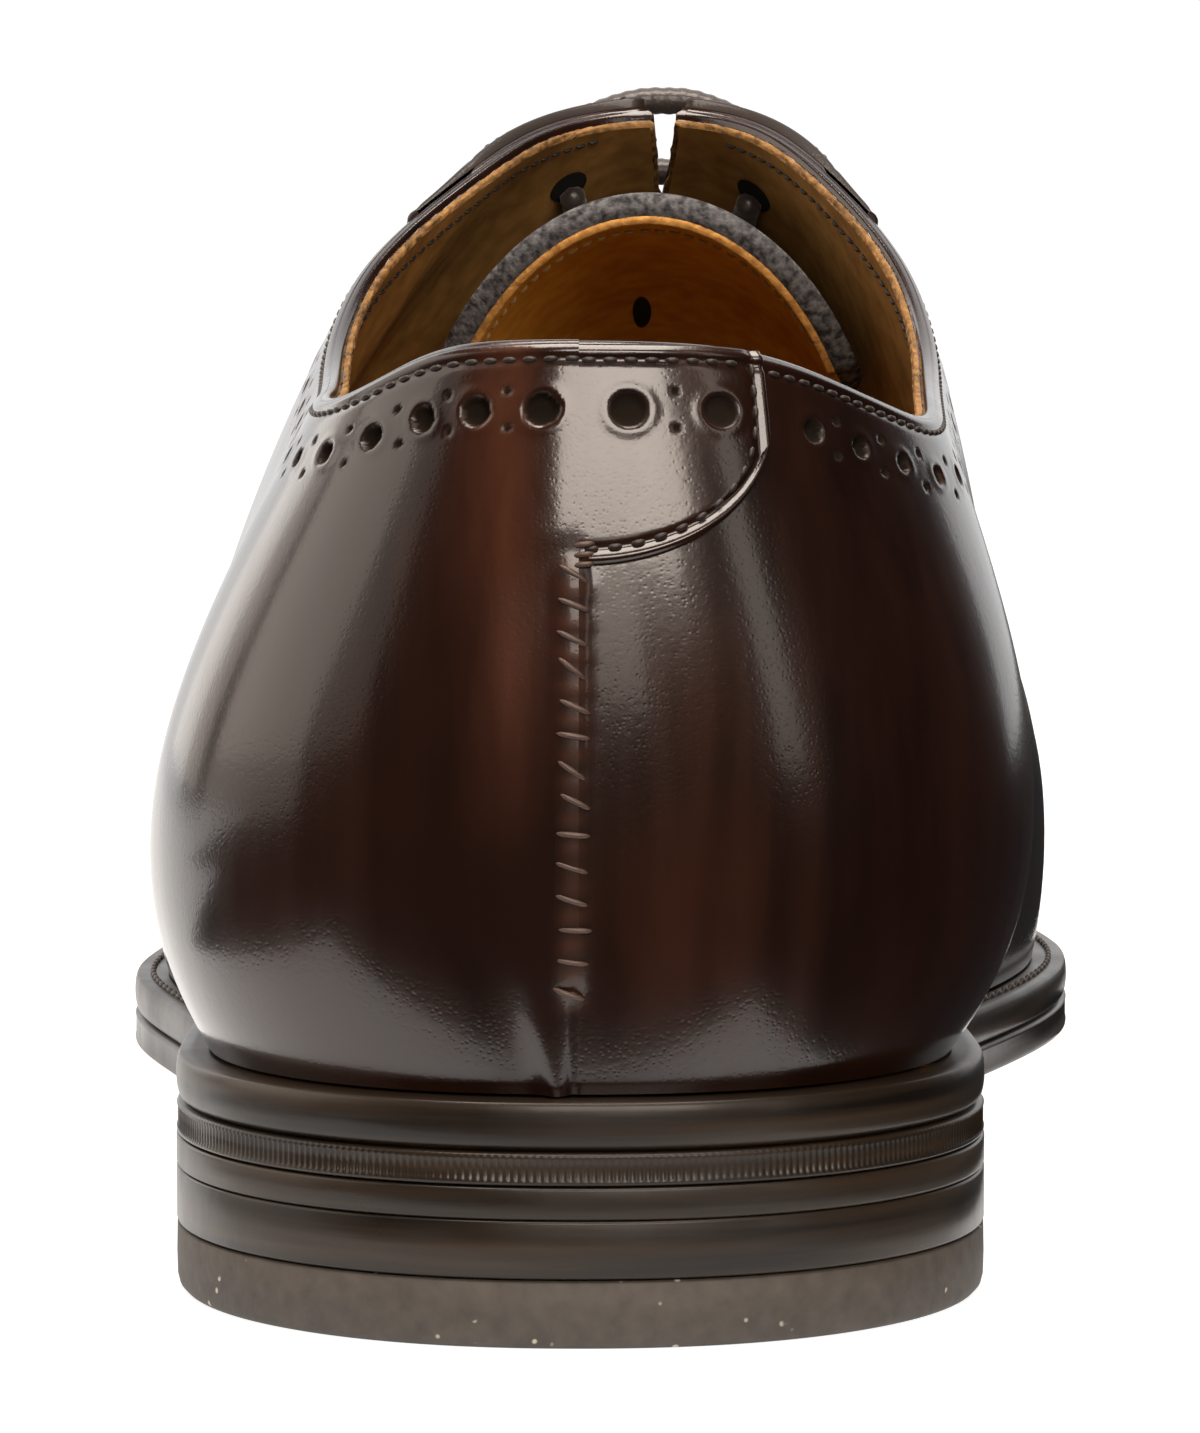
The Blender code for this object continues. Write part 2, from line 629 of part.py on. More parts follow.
def make_lace_bars(cord):
    """The straight bars of the lace, each lying across the facings between two eyelets."""
    lift = GAP + OVERLAY + GAP + LACE_DIAMETER / 2
    for number, along in enumerate(EYELETS, 1):
        bow = TOP_BAR_BOW if number == 1 else 0.0
        route = []
        for side, distances in ((LATERAL, LACE_POINTS), (MEDIAL, LACE_POINTS[::-1])):
            s = np.full_like(distances, along)
            w = down_section(s, side, distances, np.ones_like(s))
            rise = lift + bow * (1 - distances / LACE_POINTS.max())
            route += list(last_point(s, side, w) + rise[:, None] * last_normal(s, side, w))
        curve = bpy.data.curves.new(f"lace_bar_{number}", "CURVE")
        curve.dimensions = "3D"
        curve.bevel_depth = LACE_DIAMETER / 2 * MM
        curve.bevel_resolution = 2
        curve.use_fill_caps = True
        line = curve.splines.new("POLY")
        line.points.add(len(route) - 1)
        for point, position in zip(line.points, place(route)):
            point.co = (*position, 1.0)
        curve.materials.append(cord)
        obj = bpy.data.objects.new(f"lace_bar_{number}", curve)
        bpy.context.scene.collection.objects.link(obj)


def main():
    for old in list(bpy.data.objects):
        bpy.data.objects.remove(old)
    leather = finish("polished_leather", *LEATHER_FINISH)
    sole_leather = finish("sole_edge", *SOLE_FINISH)
    rubber = finish("heel_rubber", *RUBBER_FINISH)
    lining = finish("lining", *LINING_FINISH)
    cord = finish("lace", *CORD_FINISH)
    cutter = eyelet_cutter()
    make_heel(sole_leather, rubber)
    make_outsole(sole_leather)
    make_welt(sole_leather)
    make_insole(lining)
    make_upper(leather, cutter)
    make_eyestay(leather, cutter)
    make_heel_tab(leather)
    make_tongue(leather)
    make_lace_bars(cord)


main()
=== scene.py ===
"""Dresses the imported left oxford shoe: leather, lining, stitching, lace, sole and studio.

Lengths are in millimetres in the shoe's own directions, "along" from heel to toe, x to
the medial side and z up, until LastForm.place() turns them into metres in the frame.
"""

import logging
import math
from dataclasses import dataclass, field
from enum import Enum
from typing import Optional, Sequence, Union

import bmesh
import bpy
import numpy as np
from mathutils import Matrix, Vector


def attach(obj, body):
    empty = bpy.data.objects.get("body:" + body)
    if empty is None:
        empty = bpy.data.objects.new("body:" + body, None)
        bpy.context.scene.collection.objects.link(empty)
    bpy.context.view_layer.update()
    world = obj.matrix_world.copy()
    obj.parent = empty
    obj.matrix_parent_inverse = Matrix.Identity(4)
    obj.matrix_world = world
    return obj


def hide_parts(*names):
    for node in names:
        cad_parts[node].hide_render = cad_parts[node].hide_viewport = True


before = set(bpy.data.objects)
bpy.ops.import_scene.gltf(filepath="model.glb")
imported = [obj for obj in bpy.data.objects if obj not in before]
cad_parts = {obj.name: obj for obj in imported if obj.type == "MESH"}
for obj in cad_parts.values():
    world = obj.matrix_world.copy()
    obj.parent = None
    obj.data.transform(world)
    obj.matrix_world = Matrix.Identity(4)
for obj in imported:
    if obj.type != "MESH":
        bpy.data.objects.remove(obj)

LOG = logging.getLogger("oxford")
MM = 0.001
Array = np.ndarray
Colour = tuple[float, float, float]
Socket = bpy.types.NodeSocket


class Side(Enum):
    """The two sides of the shoe, with the sign of x."""

    LATERAL = -1
    MEDIAL = 1


@dataclass(frozen=True)
class Table:
    """A short table with named columns, read through a natural cubic spline."""

    columns: tuple[str, ...]
    rows: tuple[tuple[float, ...], ...]

    def column(self, name: str) -> Array:
        """One whole column."""
        return np.array([row[self.columns.index(name)] for row in self.rows])

    def read(self, name: str, along: Union[Array, float]) -> Array:
        """Spline value of a column, flat beyond the ends of the table.

        Args:
            name: column to read.
            along: value of the first column.

        Returns:
            Values with the shape of along.
        """
        x, y = self.column(self.columns[0]), self.column(name)
        step, count = np.diff(x), len(x)
        matrix, right = np.eye(count), np.zeros(count)
        inner = np.arange(1, count - 1)
        matrix[inner, inner - 1] = step[:-1]
        matrix[inner, inner] = 2 * (step[:-1] + step[1:])
        matrix[inner, inner + 1] = step[1:]
        right[inner] = 6 * np.diff(np.diff(y) / step)
        bend = np.linalg.solve(matrix, right)
        along = np.clip(np.asarray(along, float), x[0], x[-1])
        i = np.clip(np.searchsorted(x, along, side="right") - 1, 0, count - 2)
        h = step[i]
        a, b = (x[i + 1] - along) / h, (along - x[i]) / h
        curved = ((a**3 - a) * bend[i] + (b**3 - b) * bend[i + 1]) * h * h / 6
        return a * y[i] + b * y[i + 1] + curved


def bezier(v: Array, a: Array, b: Array, c: Array, d: Array) -> Array:
    """Cubic Bezier value at v from 0 to 1 through four handles."""
    u = 1 - v
    return a * u**3 + 3 * b * u * u * v + 3 * c * u * v * v + d * v**3


def round_end(distance: Array, depth: float, power: float) -> Array:
    """Superellipse factor, from 0 at the very end to 1 at its depth."""
    t = np.clip(1 - distance / depth, 0.0, 1.0)
    return np.maximum(1 - t**power, 0.0) ** (1 / power)


def ease(t: Array) -> Array:
    """Smooth step from 0 to 1."""
    t = np.clip(t, 0.0, 1.0)
    return t * t * t * (t * (6 * t - 15) + 10)


def bell(x: Array, middle: float, width: float) -> Array:
    """Bell curve of height 1."""
    return np.exp(-(((x - middle) / width) ** 2))


def unit(vectors: Array) -> Array:
    """Vectors scaled to length 1."""
    return vectors / np.maximum(np.linalg.norm(vectors, axis=-1, keepdims=True), 1e-12)


def run_length(points: Array) -> Array:
    """Length along a polyline up to each of its points."""
    return np.r_[0.0, np.cumsum(np.linalg.norm(np.diff(points, axis=0), axis=1))]


def spaced(line: Array, start: float, step: float, *values: Array) -> list[Array]:
    """Places at even steps along a polyline, and values read there.

    Args:
        line: points of the polyline.
        start: run of the first place.
        step: run from one place to the next.
        values: arrays with a row or a number for each point of the polyline.

    Returns:
        The places, then each of the values there.
    """
    run = run_length(line)
    at = np.arange(start, run[-1], step)

    def read(column: Array) -> Array:
        """One column at the places."""
        return np.interp(at, run, column)

    return [np.apply_along_axis(read, 0, rows) for rows in (line, *values)]


def disc(count: int) -> tuple[Array, Array]:
    """Both coordinates of a unit disc: its middle and two rings, each closed on itself."""
    turn = np.linspace(0.0, 2 * np.pi, count)
    size = np.array((0.0, 0.5, 1.0))[:, None]
    return size * np.cos(turn), size * np.sin(turn)


SOLE = Table(
    ("along", "centre", "lateral", "medial"),
    (
        (0.0, 0.0, 34.5, 34.5),
        (35.0, 0.0, 34.5, 34.5),
        (70.0, 0.0, 33.8, 31.8),
        (110.0, 0.5, 35.0, 28.5),
        (150.0, 1.5, 43.0, 38.5),
        (185.0, 2.0, 51.3, 49.8),
        (205.0, 2.5, 51.0, 51.6),
        (230.0, 3.0, 47.5, 48.5),
        (260.0, 4.0, 41.5, 42.0),
        (300.0, 6.0, 33.5, 33.5),
    ),
)
LAST = Table(
    ("along", "inset", "top", "centre", "top_half", "swell_l", "swell_m", "rise_l", "rise_m",
     "reach_l", "reach_m", "drop_l", "drop_m"),
    (
        (3.0, 3.0, 128.0, 0.0, 8.0, 18.0, 18.0, 29.0, 29.0, 8.0, 8.0, 52.0, 52.0),
        (30.0, 2.8, 128.0, 2.0, 7.0, 19.4, 19.6, 31.5, 25.6, 1.4, 15.4, 46.5, 50.2),
        (58.0, 2.6, 126.6, 4.5, 3.0, 23.6, 19.5, 20.9, 19.6, 3.2, 19.6, 23.5, 29.5),
        (80.0, 2.6, 116.2, 5.4, 1.8, 21.0, 18.4, 19.2, 20.2, 13.6, 26.2, 7.0, 12.6),
        (95.0, 2.6, 108.2, 6.8, 1.8, 23.6, 17.7, 19.8, 19.0, 15.8, 25.0, 5.4, 10.0),
        (109.0, 2.6, 100.8, 8.0, 1.65, 24.0, 16.3, 20.2, 19.8, 21.8, 23.8, 1.6, 5.0),
        (125.0, 2.7, 92.6, 7.6, 0.6, 18.7, 14.5, 22.0, 23.0, 20.2, 25.0, 1.0, 1.6),
        (145.0, 3.0, 82.6, 7.0, 0.45, 13.5, 11.4, 24.0, 28.0, 20.0, 27.0, 0.0, 0.0),
        (168.0, 3.5, 71.2, 6.5, 0.4, 9.4, 9.4, 25.0, 32.0, 21.0, 32.3, 0.0, 0.0),
        (185.0, 3.7, 64.0, 5.8, 0.4, 8.0, 7.5, 24.0, 33.4, 23.0, 36.2, 0.0, 0.0),
        (205.0, 3.9, 56.6, 4.9, 0.4, 6.6, 5.2, 22.0, 26.8, 24.0, 32.8, 0.0, 0.0),
        (235.0, 4.1, 49.3, 4.5, 0.4, 3.6, 3.2, 20.0, 22.0, 24.0, 27.0, 0.0, 0.0),
        (260.0, 4.2, 44.8, 4.6, 0.4, 2.4, 2.2, 18.0, 18.0, 21.0, 22.0, 0.0, 0.0),
        (280.0, 4.2, 41.8, 4.8, 0.4, 1.8, 1.6, 16.5, 16.5, 17.0, 17.0, 0.0, 0.0),
        (300.0, 4.2, 39.5, 5.5, 0.4, 1.4, 1.4, 15.0, 15.0, 14.0, 14.0, 0.0, 0.0),
    ),
)
COLLAR = Table(
    ("along", "lateral", "medial"),
    (
        (0.0, 81.0, 81.0), (6.0, 80.4, 80.4), (12.0, 78.0, 78.8), (16.0, 76.7, 77.3), (21.0, 75.9, 75.6),
        (28.0, 75.7, 74.1), (35.0, 75.9, 74.2), (45.0, 76.2, 75.3), (55.0, 77.1, 76.5), (66.0, 79.6, 79.1),
        (80.0, 86.3, 86.1), (92.0, 93.2, 93.2), (102.0, 98.4, 98.4), (109.0, 100.8, 100.8),
    ),
)
BACK = Table(
    ("height", "lean"),
    (
        (20.0, 0.0), (30.0, -1.9), (42.0, -2.8), (55.0, -2.2), (70.0, 0.4), (81.0, 3.0),
        (128.0, 14.0),
    ),
)
EYESTAY = Table(
    ("along", "width"),
    (
        (88.0, 30.5), (96.0, 26.0), (104.0, 22.8), (112.0, 20.8), (122.0, 19.8), (138.0, 19.0),
        (156.0, 17.8), (172.0, 16.0),
    ),
)
TONGUE = Table(
    ("along", "height", "centre", "half", "fall"),
    (
        (86.0, 92.7, 6.1, 19.9, 16.0),
        (100.0, 89.7, 6.9, 19.8, 14.5),
        (118.0, 84.0, 7.8, 18.0, 12.5),
        (140.0, 75.4, 7.2, 16.0, 10.0),
        (160.0, 66.8, 6.8, 14.0, 8.0),
        (178.0, 59.8, 6.4, 11.0, 5.0),
    ),
)


@dataclass
class LastForm:
    """The form that the whole shoe is built on: sole outline, heights and last sections."""

    length: float = 300.0
    heel_breast: float = 66.0
    tread_start: float = 146.0
    tread_end: float = 222.0
    toe_spring: float = 10.0
    heel_seat: float = 13.4
    outsole_heel: float = 2.5
    outsole_tread: float = 3.0
    welt: float = 3.9
    insole: float = 3.0
    gap: float = 0.3
    wall: float = 2.2
    heel_depth: float = 35.0
    toe_depth: float = 62.0
    heel_power: float = 2.15
    toe_power: float = 2.05
    toe_box_depth: float = 36.0
    toe_box_power: float = 2.3
    facing_top: float = 109.0
    throat_end: float = 172.0
    back_reach: float = 62.0
    heel_start: float = 3.0
    toe_inset: float = 4.2

    def __post_init__(self) -> None:
        """Finds the middle of the sole's width, which is x = 0 in the frame."""
        along = np.linspace(0.0, self.length, 601)
        low = self.sole_edge(along, Side.LATERAL, 0.0).min()
        high = self.sole_edge(along, Side.MEDIAL, 0.0).max()
        self.middle = np.array(((low + high) / 2, self.length / 2, 0.0))

    def place(self, points: Array) -> Array:
        """Shoe millimetres to metres in the frame."""
        return (np.asarray(points, float) - self.middle) * MM

    def tread(self, along: Array) -> Array:
        """Underside of the outsole: heel seat, waist, flat tread, toe spring."""
        waist = 1 - ease((along - self.heel_breast) / (self.tread_start - self.heel_breast))
        spring = np.maximum(along - self.tread_end, 0.0) / (self.length - self.tread_end)
        return self.heel_seat * waist + self.toe_spring * spring**2

    def outsole_top(self, along: Array) -> Array:
        """Upper face of the outsole."""
        share = ease((along - self.heel_breast) / (self.tread_start - self.heel_breast))
        return self.tread(along) + self.outsole_heel + (self.outsole_tread - self.outsole_heel) * share

    def feather(self, along: Array) -> Array:
        """Height of the seam where the upper stands on the welt."""
        return self.outsole_top(along) + self.welt + 2 * self.gap

    def outline(self, along: Array, side: Side, inset: Array, heel: float, toe: float) -> Array:
        """x of a line inset inside the edge of the sole, with superellipse ends.

        Args:
            along: stations.
            side: side of the shoe.
            inset: distance inside the edge of the sole.
            heel: inset at the back end.
            toe: inset at the front end.

        Returns:
            x at each station.
        """
        half = SOLE.read(side.name.lower(), along) - inset
        back = round_end(along - heel, self.heel_depth - heel, self.heel_power)
        front = round_end(self.length - toe - along, self.toe_depth - toe, self.toe_power)
        return SOLE.read("centre", along) + side.value * half * back * front

    def sole_edge(self, along: Array, side: Side, inset: float) -> Array:
        """x of an outline that lies one inset inside the edge of the sole."""
        return self.outline(along, side, inset, inset, inset)

    def foot_edge(self, along: Array, side: Side, inside: float = 0.0) -> Array:
        """x of the upper's foot on the welt, or of a line inside it."""
        first, last = self.heel_start + inside, self.toe_inset + inside
        return self.outline(along, side, LAST.read("inset", along) + inside, first, last)

    def handles(self, along: Array, side: Side) -> tuple[tuple, tuple]:
        """x and z of the four Bezier handles of each section.

        Args:
            along: stations.
            side: side of the shoe.

        Returns:
            The four x and the four z, from the foot to the ridge.
        """
        mark = "_l" if side is Side.LATERAL else "_m"
        from_heel = along - self.heel_start
        from_toe = self.length - self.toe_inset - along
        toe_box = round_end(from_toe, self.toe_box_depth, self.toe_box_power)
        heel = round_end(from_heel, self.heel_depth, self.heel_power)
        swell = heel * round_end(from_toe, self.toe_depth, self.toe_power)
        foot_x, foot_z = self.foot_edge(along, side), self.feather(along)
        height = (LAST.read("top", along) - foot_z) * toe_box
        at_sole = SOLE.read("centre", along)
        middle = at_sole + (LAST.read("centre", along) * heel - at_sole) * ease(toe_box)
        half = np.where(along <= self.throat_end, LAST.read("top_half", along), 0.0) * heel
        x = (
            foot_x,
            foot_x + side.value * LAST.read("swell" + mark, along) * swell,
            middle + side.value * (half + LAST.read("reach" + mark, along) * swell),
            middle + side.value * half,
        )
        z = (
            foot_z,
            foot_z + LAST.read("rise" + mark, along) * toe_box,
            foot_z + height - LAST.read("drop" + mark, along),
            foot_z + height,
        )
        return x, z

    def collar_share(self, along: Array, side: Side) -> Array:
        """Bezier parameter at which each section ends: the collar cut, or the ridge.

        Args:
            along: stations.
            side: side of the shoe.

        Returns:
            The parameter at each station.
        """
        z = self.handles(along, side)[1]
        height = COLLAR.read(side.name.lower(), along)
        low, high = np.zeros_like(along), np.ones_like(along)
        for _ in range(40):
            middle = (low + high) / 2
            below = bezier(middle, *z) < height
            low, high = np.where(below, middle, low), np.where(below, high, middle)
        return np.where(along < self.facing_top, high, 1.0)

    def point(self, along: Array, side: Side, w: Array) -> Array:
        """Outer face of the last.

        Args:
            along: stations.
            side: side of the shoe.
            w: Bezier parameter, from 0 at the foot to 1 at the ridge line.

        Returns:
            Points in shoe millimetres.
        """
        x, z = self.handles(along, side)
        height = bezier(w, *z)
        fade = np.clip(1 - along / self.back_reach, 0.0, 1.0) ** 2
        y = along + fade * BACK.read("lean", height)
        return np.stack(np.broadcast_arrays(bezier(w, *x), y, height), axis=-1)

    def normal(self, along: Array, side: Side, w: Array) -> Array:
        """Outward unit normal of the last, from two short chords.

        Args:
            along: stations.
            side: side of the shoe.
            w: Bezier parameter.

        Returns:
            Normals at the points.
        """
        step, share = 0.05, 0.004
        low, high = np.clip(w - share, 0, 1), np.clip(w + share, 0, 1)
        up = self.point(along, side, high) - self.point(along, side, low)
        end = self.length - self.toe_inset
        back, front = np.maximum(along - step, self.heel_start), np.minimum(along + step, end)
        ahead = self.point(front, side, w) - self.point(back, side, w)
        return unit(np.cross(ahead, up) * side.value)


class SectionMap:
    """Finds points of one side of the last by distance down the section from the ridge."""

    STATIONS = 420
    STEP = 0.5
    REACH = 140.0

    def __init__(self, form: LastForm, side: Side) -> None:
        """Tabulates, over stations crowded to both ends, the Bezier parameter by distance.

        Args:
            form: the last.
            side: side of the shoe.
        """
        self.form, self.side = form, side
        self.start = form.heel_start
        self.span = form.length - form.toe_inset - form.heel_start
        q = np.linspace(0.0, 1.0, self.STATIONS)
        along = self.start + self.span * (1 - np.cos(np.pi * q)) / 2
        w = np.linspace(1.0, 0.0, 260)
        points = form.point(along[:, None], side, w[None, :])
        steps = np.linalg.norm(np.diff(points, axis=1), axis=-1)
        runs = np.concatenate([np.zeros((self.STATIONS, 1)), np.cumsum(steps, axis=1)], axis=1)
        rho = np.arange(0.0, self.REACH, self.STEP)
        self.table = np.stack([np.interp(rho, run, w) for run in runs])
        self.along, self.foot = along, runs[:, -1]
        self.top_along = self.start + (form.facing_top - self.start) * (
            (1 - np.cos(np.linspace(0.0, np.pi, 1200))) / 2
        )
        self.top_w = form.collar_share(self.top_along, side)
        self.top_rho = self._run_to(self.top_along, self.top_w)

    def _run_to(self, along: Array, w: Array) -> Array:
        """Distance from the ridge down to parameter w at each station."""
        share = np.linspace(0.0, 1.0, 120)
        ws = 1.0 + (w[:, None] - 1.0) * share[None, :]
        points = self.form.point(along[:, None], self.side, ws)
        return np.linalg.norm(np.diff(points, axis=1), axis=-1).sum(axis=1)

    def top(self, along: Array) -> Array:
        """Distance from the ridge to the collar edge, nought beyond the facing top."""
        rho = np.interp(along, self.top_along, self.top_rho)
        return np.where(along < self.form.facing_top, rho, 0.0)

    def bottom(self, along: Array) -> Array:
        """Distance from the ridge to the welt."""
        return np.interp(along, self.along, self.foot)

    def parameter(self, along: Array, rho: Array) -> Array:
        """Bezier parameter at stations and distances from the ridge, read bilinearly.

        Args:
            along: stations.
            rho: distances down the section from the ridge.

        Returns:
            The parameter at each place.
        """
        turn = np.clip(1 - 2 * (along - self.start) / self.span, -1.0, 1.0)
        q = np.arccos(turn) / np.pi * (self.STATIONS - 1)
        p = np.clip(rho / self.STEP, 0.0, self.table.shape[1] - 1.001)
        i = np.clip(q.astype(int), 0, self.STATIONS - 2)
        j = p.astype(int)
        fi, fj = q - i, p - j
        t = self.table
        low = t[i, j] * (1 - fj) + t[i, j + 1] * fj
        high = t[i + 1, j] * (1 - fj) + t[i + 1, j + 1] * fj
        return low * (1 - fi) + high * fi

    def at(self, along: Array, rho: Array) -> tuple[Array, Array]:
        """Points and outward normals at stations and distances from the ridge."""
        along, rho = np.broadcast_arrays(np.asarray(along, float), np.asarray(rho, float))
        w = self.parameter(along, rho)
        return self.form.point(along, self.side, w), self.form.normal(along, self.side, w)


class Topline:
    """The collar edge of one side, from the back seam to the top of the facing."""

    def __init__(self, section: SectionMap) -> None:
        """Measures the edge as a polyline."""
        self.section = section
        self.along = section.top_along
        self.points = section.form.point(self.along, section.side, section.top_w)
        self.run = run_length(self.points)

    def station(self, run: Array) -> Array:
        """Station at a distance along the edge from the back seam."""
        return np.interp(run, self.run, self.along)

    def run_to(self, along: float) -> float:
        """Distance along the edge from the back seam to a station."""
        return float(np.interp(along, self.along, self.run))

    def nearest(self, points: Array) -> tuple[Array, Array]:
        """Finds the nearest edge point of each point.

        Args:
            points: points of the last.

        Returns:
            Run along the edge and distance from it for each point.
        """
        flat = points.reshape(-1, 3)
        run, away = np.empty(len(flat)), np.empty(len(flat))
        edge = self.points[::2]
        for first in range(0, len(flat), 8000):
            part = flat[first:first + 8000]
            gaps = ((part[:, None, :] - edge[None, :, :]) ** 2).sum(axis=-1)
            best = gaps.argmin(axis=1)
            run[first:first + 8000] = self.run[::2][best]
            away[first:first + 8000] = np.sqrt(gaps[np.arange(len(part)), best])
        return run.reshape(points.shape[:-1]), away.reshape(points.shape[:-1])

    def below(self, run: Array, distance: Array) -> tuple[Array, Array]:
        """Station and ridge distance of points that lie this far from the edge.

        The distance down the section is corrected for the slant of the edge.

        Args:
            run: runs along the edge.
            distance: distances from the edge.

        Returns:
            Stations and distances from the ridge.
        """
        along = self.station(run)
        step = np.gradient(self.section.top_rho, self.run)
        slant = np.interp(run, self.run, step)
        rho = self.section.top(along) + distance * np.sqrt(1 + np.clip(slant, -2, 2) ** 2)
        return along, rho


class Shader:
    """A material's node tree, built from the Principled shader outwards."""

    def __init__(self, name: str) -> None:
        """Starts a material with its Principled shader."""
        self.material = bpy.data.materials.new(name)
        self.material.use_nodes = True
        self.tree = self.material.node_tree
        self.surface = self.tree.nodes["Principled BSDF"]
        self.coords: Optional[Socket] = None

    def node(self, kind: str, values: dict, **settings: object) -> bpy.types.Node:
        """Adds a node, sets its properties, and sets or links its inputs.

        Args:
            kind: type of the node.
            values: value or socket for each input.
            settings: properties of the node.

        Returns:
            The node.
        """
        node = self.tree.nodes.new(kind)
        for name, value in settings.items():
            setattr(node, name, value)
        for name, value in values.items():
            self.put(node.inputs[name], value)
        return node

    def put(self, target: Socket, value: object) -> None:
        """Links a socket to another, or sets its value."""
        if isinstance(value, bpy.types.NodeSocket):
            self.tree.links.new(value, target)
        else:
            target.default_value = value

    def place(self, stretch: Sequence[float] = (1.0, 1.0, 1.0)) -> Socket:
        """Object coordinates, stretched."""
        if self.coords is None:
            self.coords = self.node("ShaderNodeTexCoord", {}).outputs["Object"]
        mapping = self.node("ShaderNodeMapping", {"Vector": self.coords, "Scale": stretch})
        return mapping.outputs["Vector"]

    def noise(self, scale: float, detail: float, stretch: Sequence[float] = (1.0, 1.0, 1.0)) -> Socket:
        """Fractal noise in object space."""
        values = {"Vector": self.place(stretch), "Scale": scale, "Detail": detail}
        return self.node("ShaderNodeTexNoise", values).outputs[0]

    def cells(self, scale: float) -> Socket:
        """Distance to the nearest cell point in object space."""
        return self.node("ShaderNodeTexVoronoi", {"Vector": self.place(), "Scale": scale}).outputs[0]

    def attribute(self, name: str) -> Socket:
        """A float attribute of the mesh."""
        return self.node("ShaderNodeAttribute", {}, attribute_name=name).outputs["Fac"]

    def spread(self, value: Socket, low: float, high: float, to: Sequence[float] = (0.0, 1.0)) -> Socket:
        """Value stretched from low..high to another range, clamped."""
        values = {"Value": value, "From Min": low, "From Max": high, "To Min": to[0], "To Max": to[1]}
        return self.node("ShaderNodeMapRange", values).outputs[0]

    def blend(self, share: Socket, first: object, second: object) -> Socket:
        """Colour between two colours or sockets."""
        node = self.node("ShaderNodeMix", {}, data_type="RGBA")
        self.put(node.inputs[0], share)
        for slot, value in ((6, first), (7, second)):
            self.put(node.inputs[slot], (*value, 1.0) if isinstance(value, tuple) else value)
        return node.outputs[2]

    def sum(self, kind: str, first: object, second: object) -> Socket:
        """A math node."""
        node = self.node("ShaderNodeMath", {}, operation=kind)
        self.put(node.inputs[0], first)
        self.put(node.inputs[1], second)
        return node.outputs[0]

    def bump(self, height: Socket, depth: float, under: Optional[Socket] = None) -> Socket:
        """Bump of a height from 0 to 1 that is depth millimetres deep."""
        values = {"Height": height, "Distance": depth * MM, "Strength": 1.0}
        if under is not None:
            values["Normal"] = under
        return self.node("ShaderNodeBump", values).outputs["Normal"]

    def finish(self, **values: object) -> bpy.types.Material:
        """Sets or links the Principled inputs, named with underscores, and ends the material."""
        for name, value in values.items():
            value = (*value, 1.0) if isinstance(value, tuple) and len(value) == 3 else value
            self.put(self.surface.inputs[name.replace("_", " ")], value)
        return self.material


@dataclass(frozen=True)
class PolishedLeather:
    """Burnished calf: streaked brown, soft gloss coat, fine pores, dull cuts with painted shade, a redder
    patch of painted light.
    """

    name: str
    dark: Colour = (0.0040, 0.0013, 0.0007)
    light: Colour = (0.0225, 0.0066, 0.0030)
    # colour of the painted light beside the back seam, also used for the tint on its ridge
    lit_and_seam_tint: Colour = (0.085, 0.027, 0.0125)
    # colour of the painted shade in holes and other darkened places
    painted_shade: Colour = (0.018, 0.013, 0.010)
    roughness: float = 0.23
    coat: float = 0.45
    coat_roughness: float = 0.11
    pore: float = 0.006

    def build(self) -> bpy.types.Material:
        """Makes the material. Attribute cut dulls punched holes and paints shade into them, and a second
        attribute marks painted light beside the back seam and a redder tint on the seam's ridge.
        """
        s = Shader(self.name)
        streak = s.noise(260.0, 5.0, (1.0, 1.0, 0.09))
        patch = s.noise(30.0, 3.0)
        tone = s.sum("MULTIPLY_ADD", s.spread(streak, 0.3, 0.74), 0.45)
        s.put(tone.node.inputs[2], s.sum("MULTIPLY", s.spread(patch, 0.3, 0.7), 0.55))
        colour = s.blend(tone, self.dark, self.light)
        # painted light: the heel's back is lighter and redder beside the seam, where it faces the front lamps
        lit_and_seam_share = s.sum("MULTIPLY", s.attribute("lit_and_seam_tint"), s.spread(tone, 0.0, 0.8))
        colour = s.blend(lit_and_seam_share, colour, self.lit_and_seam_tint)
        cut = s.attribute("cut")
        # painted shade: holes and other cut places are darkened towards the shade colour
        colour = s.blend(cut, colour, self.painted_shade)
        pores = s.spread(s.cells(2300.0), 0.0, 0.4)
        normal = s.bump(pores, self.pore)
        normal = s.bump(s.noise(1500.0, 3.0), self.pore * 1.4, normal)
        normal = s.bump(s.noise(120.0, 2.0, (1.0, 1.0, 0.35)), 0.035, normal)
        rough = s.spread(streak, 0.3, 0.75, (self.roughness * 0.88, self.roughness * 1.18))
        rough = s.sum("ADD", rough, s.sum("MULTIPLY", cut, 0.5))
        whole = s.spread(cut, 0.0, 0.8, (1.0, 0.0))
        return s.finish(Base_Color=colour, Roughness=rough, Normal=normal,
                        Coat_Weight=s.sum("MULTIPLY", whole, self.coat), Coat_Normal=normal,
                        Coat_Roughness=self.coat_roughness,
                        Specular_IOR_Level=s.sum("MULTIPLY", whole, 0.5))


@dataclass(frozen=True)
class RawLeather:
    """Unpolished leather: lining, cut edges and sock, with nap, fibres and stains."""

    name: str
    dark: Colour
    light: Colour
    fibre: float = 0.12
    scale: float = 420.0
    roughness: float = 0.72
    nap: float = 0.4

    def build(self) -> bpy.types.Material:
        """Makes the material. The share nap of the tone comes from fine fibres, the rest from stains."""
        s = Shader(self.name)
        patch = s.spread(s.noise(60.0, 4.0), 0.3, 0.72)
        nap = s.noise(self.scale, 4.0)
        tone = s.sum("MULTIPLY_ADD", patch, 1.0 - self.nap)
        s.put(tone.node.inputs[2], s.sum("MULTIPLY", s.spread(nap, 0.35, 0.65), self.nap))
        colour = s.blend(tone, self.dark, self.light)
        normal = s.bump(nap, self.fibre)
        return s.finish(Base_Color=colour, Roughness=self.roughness, Normal=normal, Specular_IOR_Level=0.25)


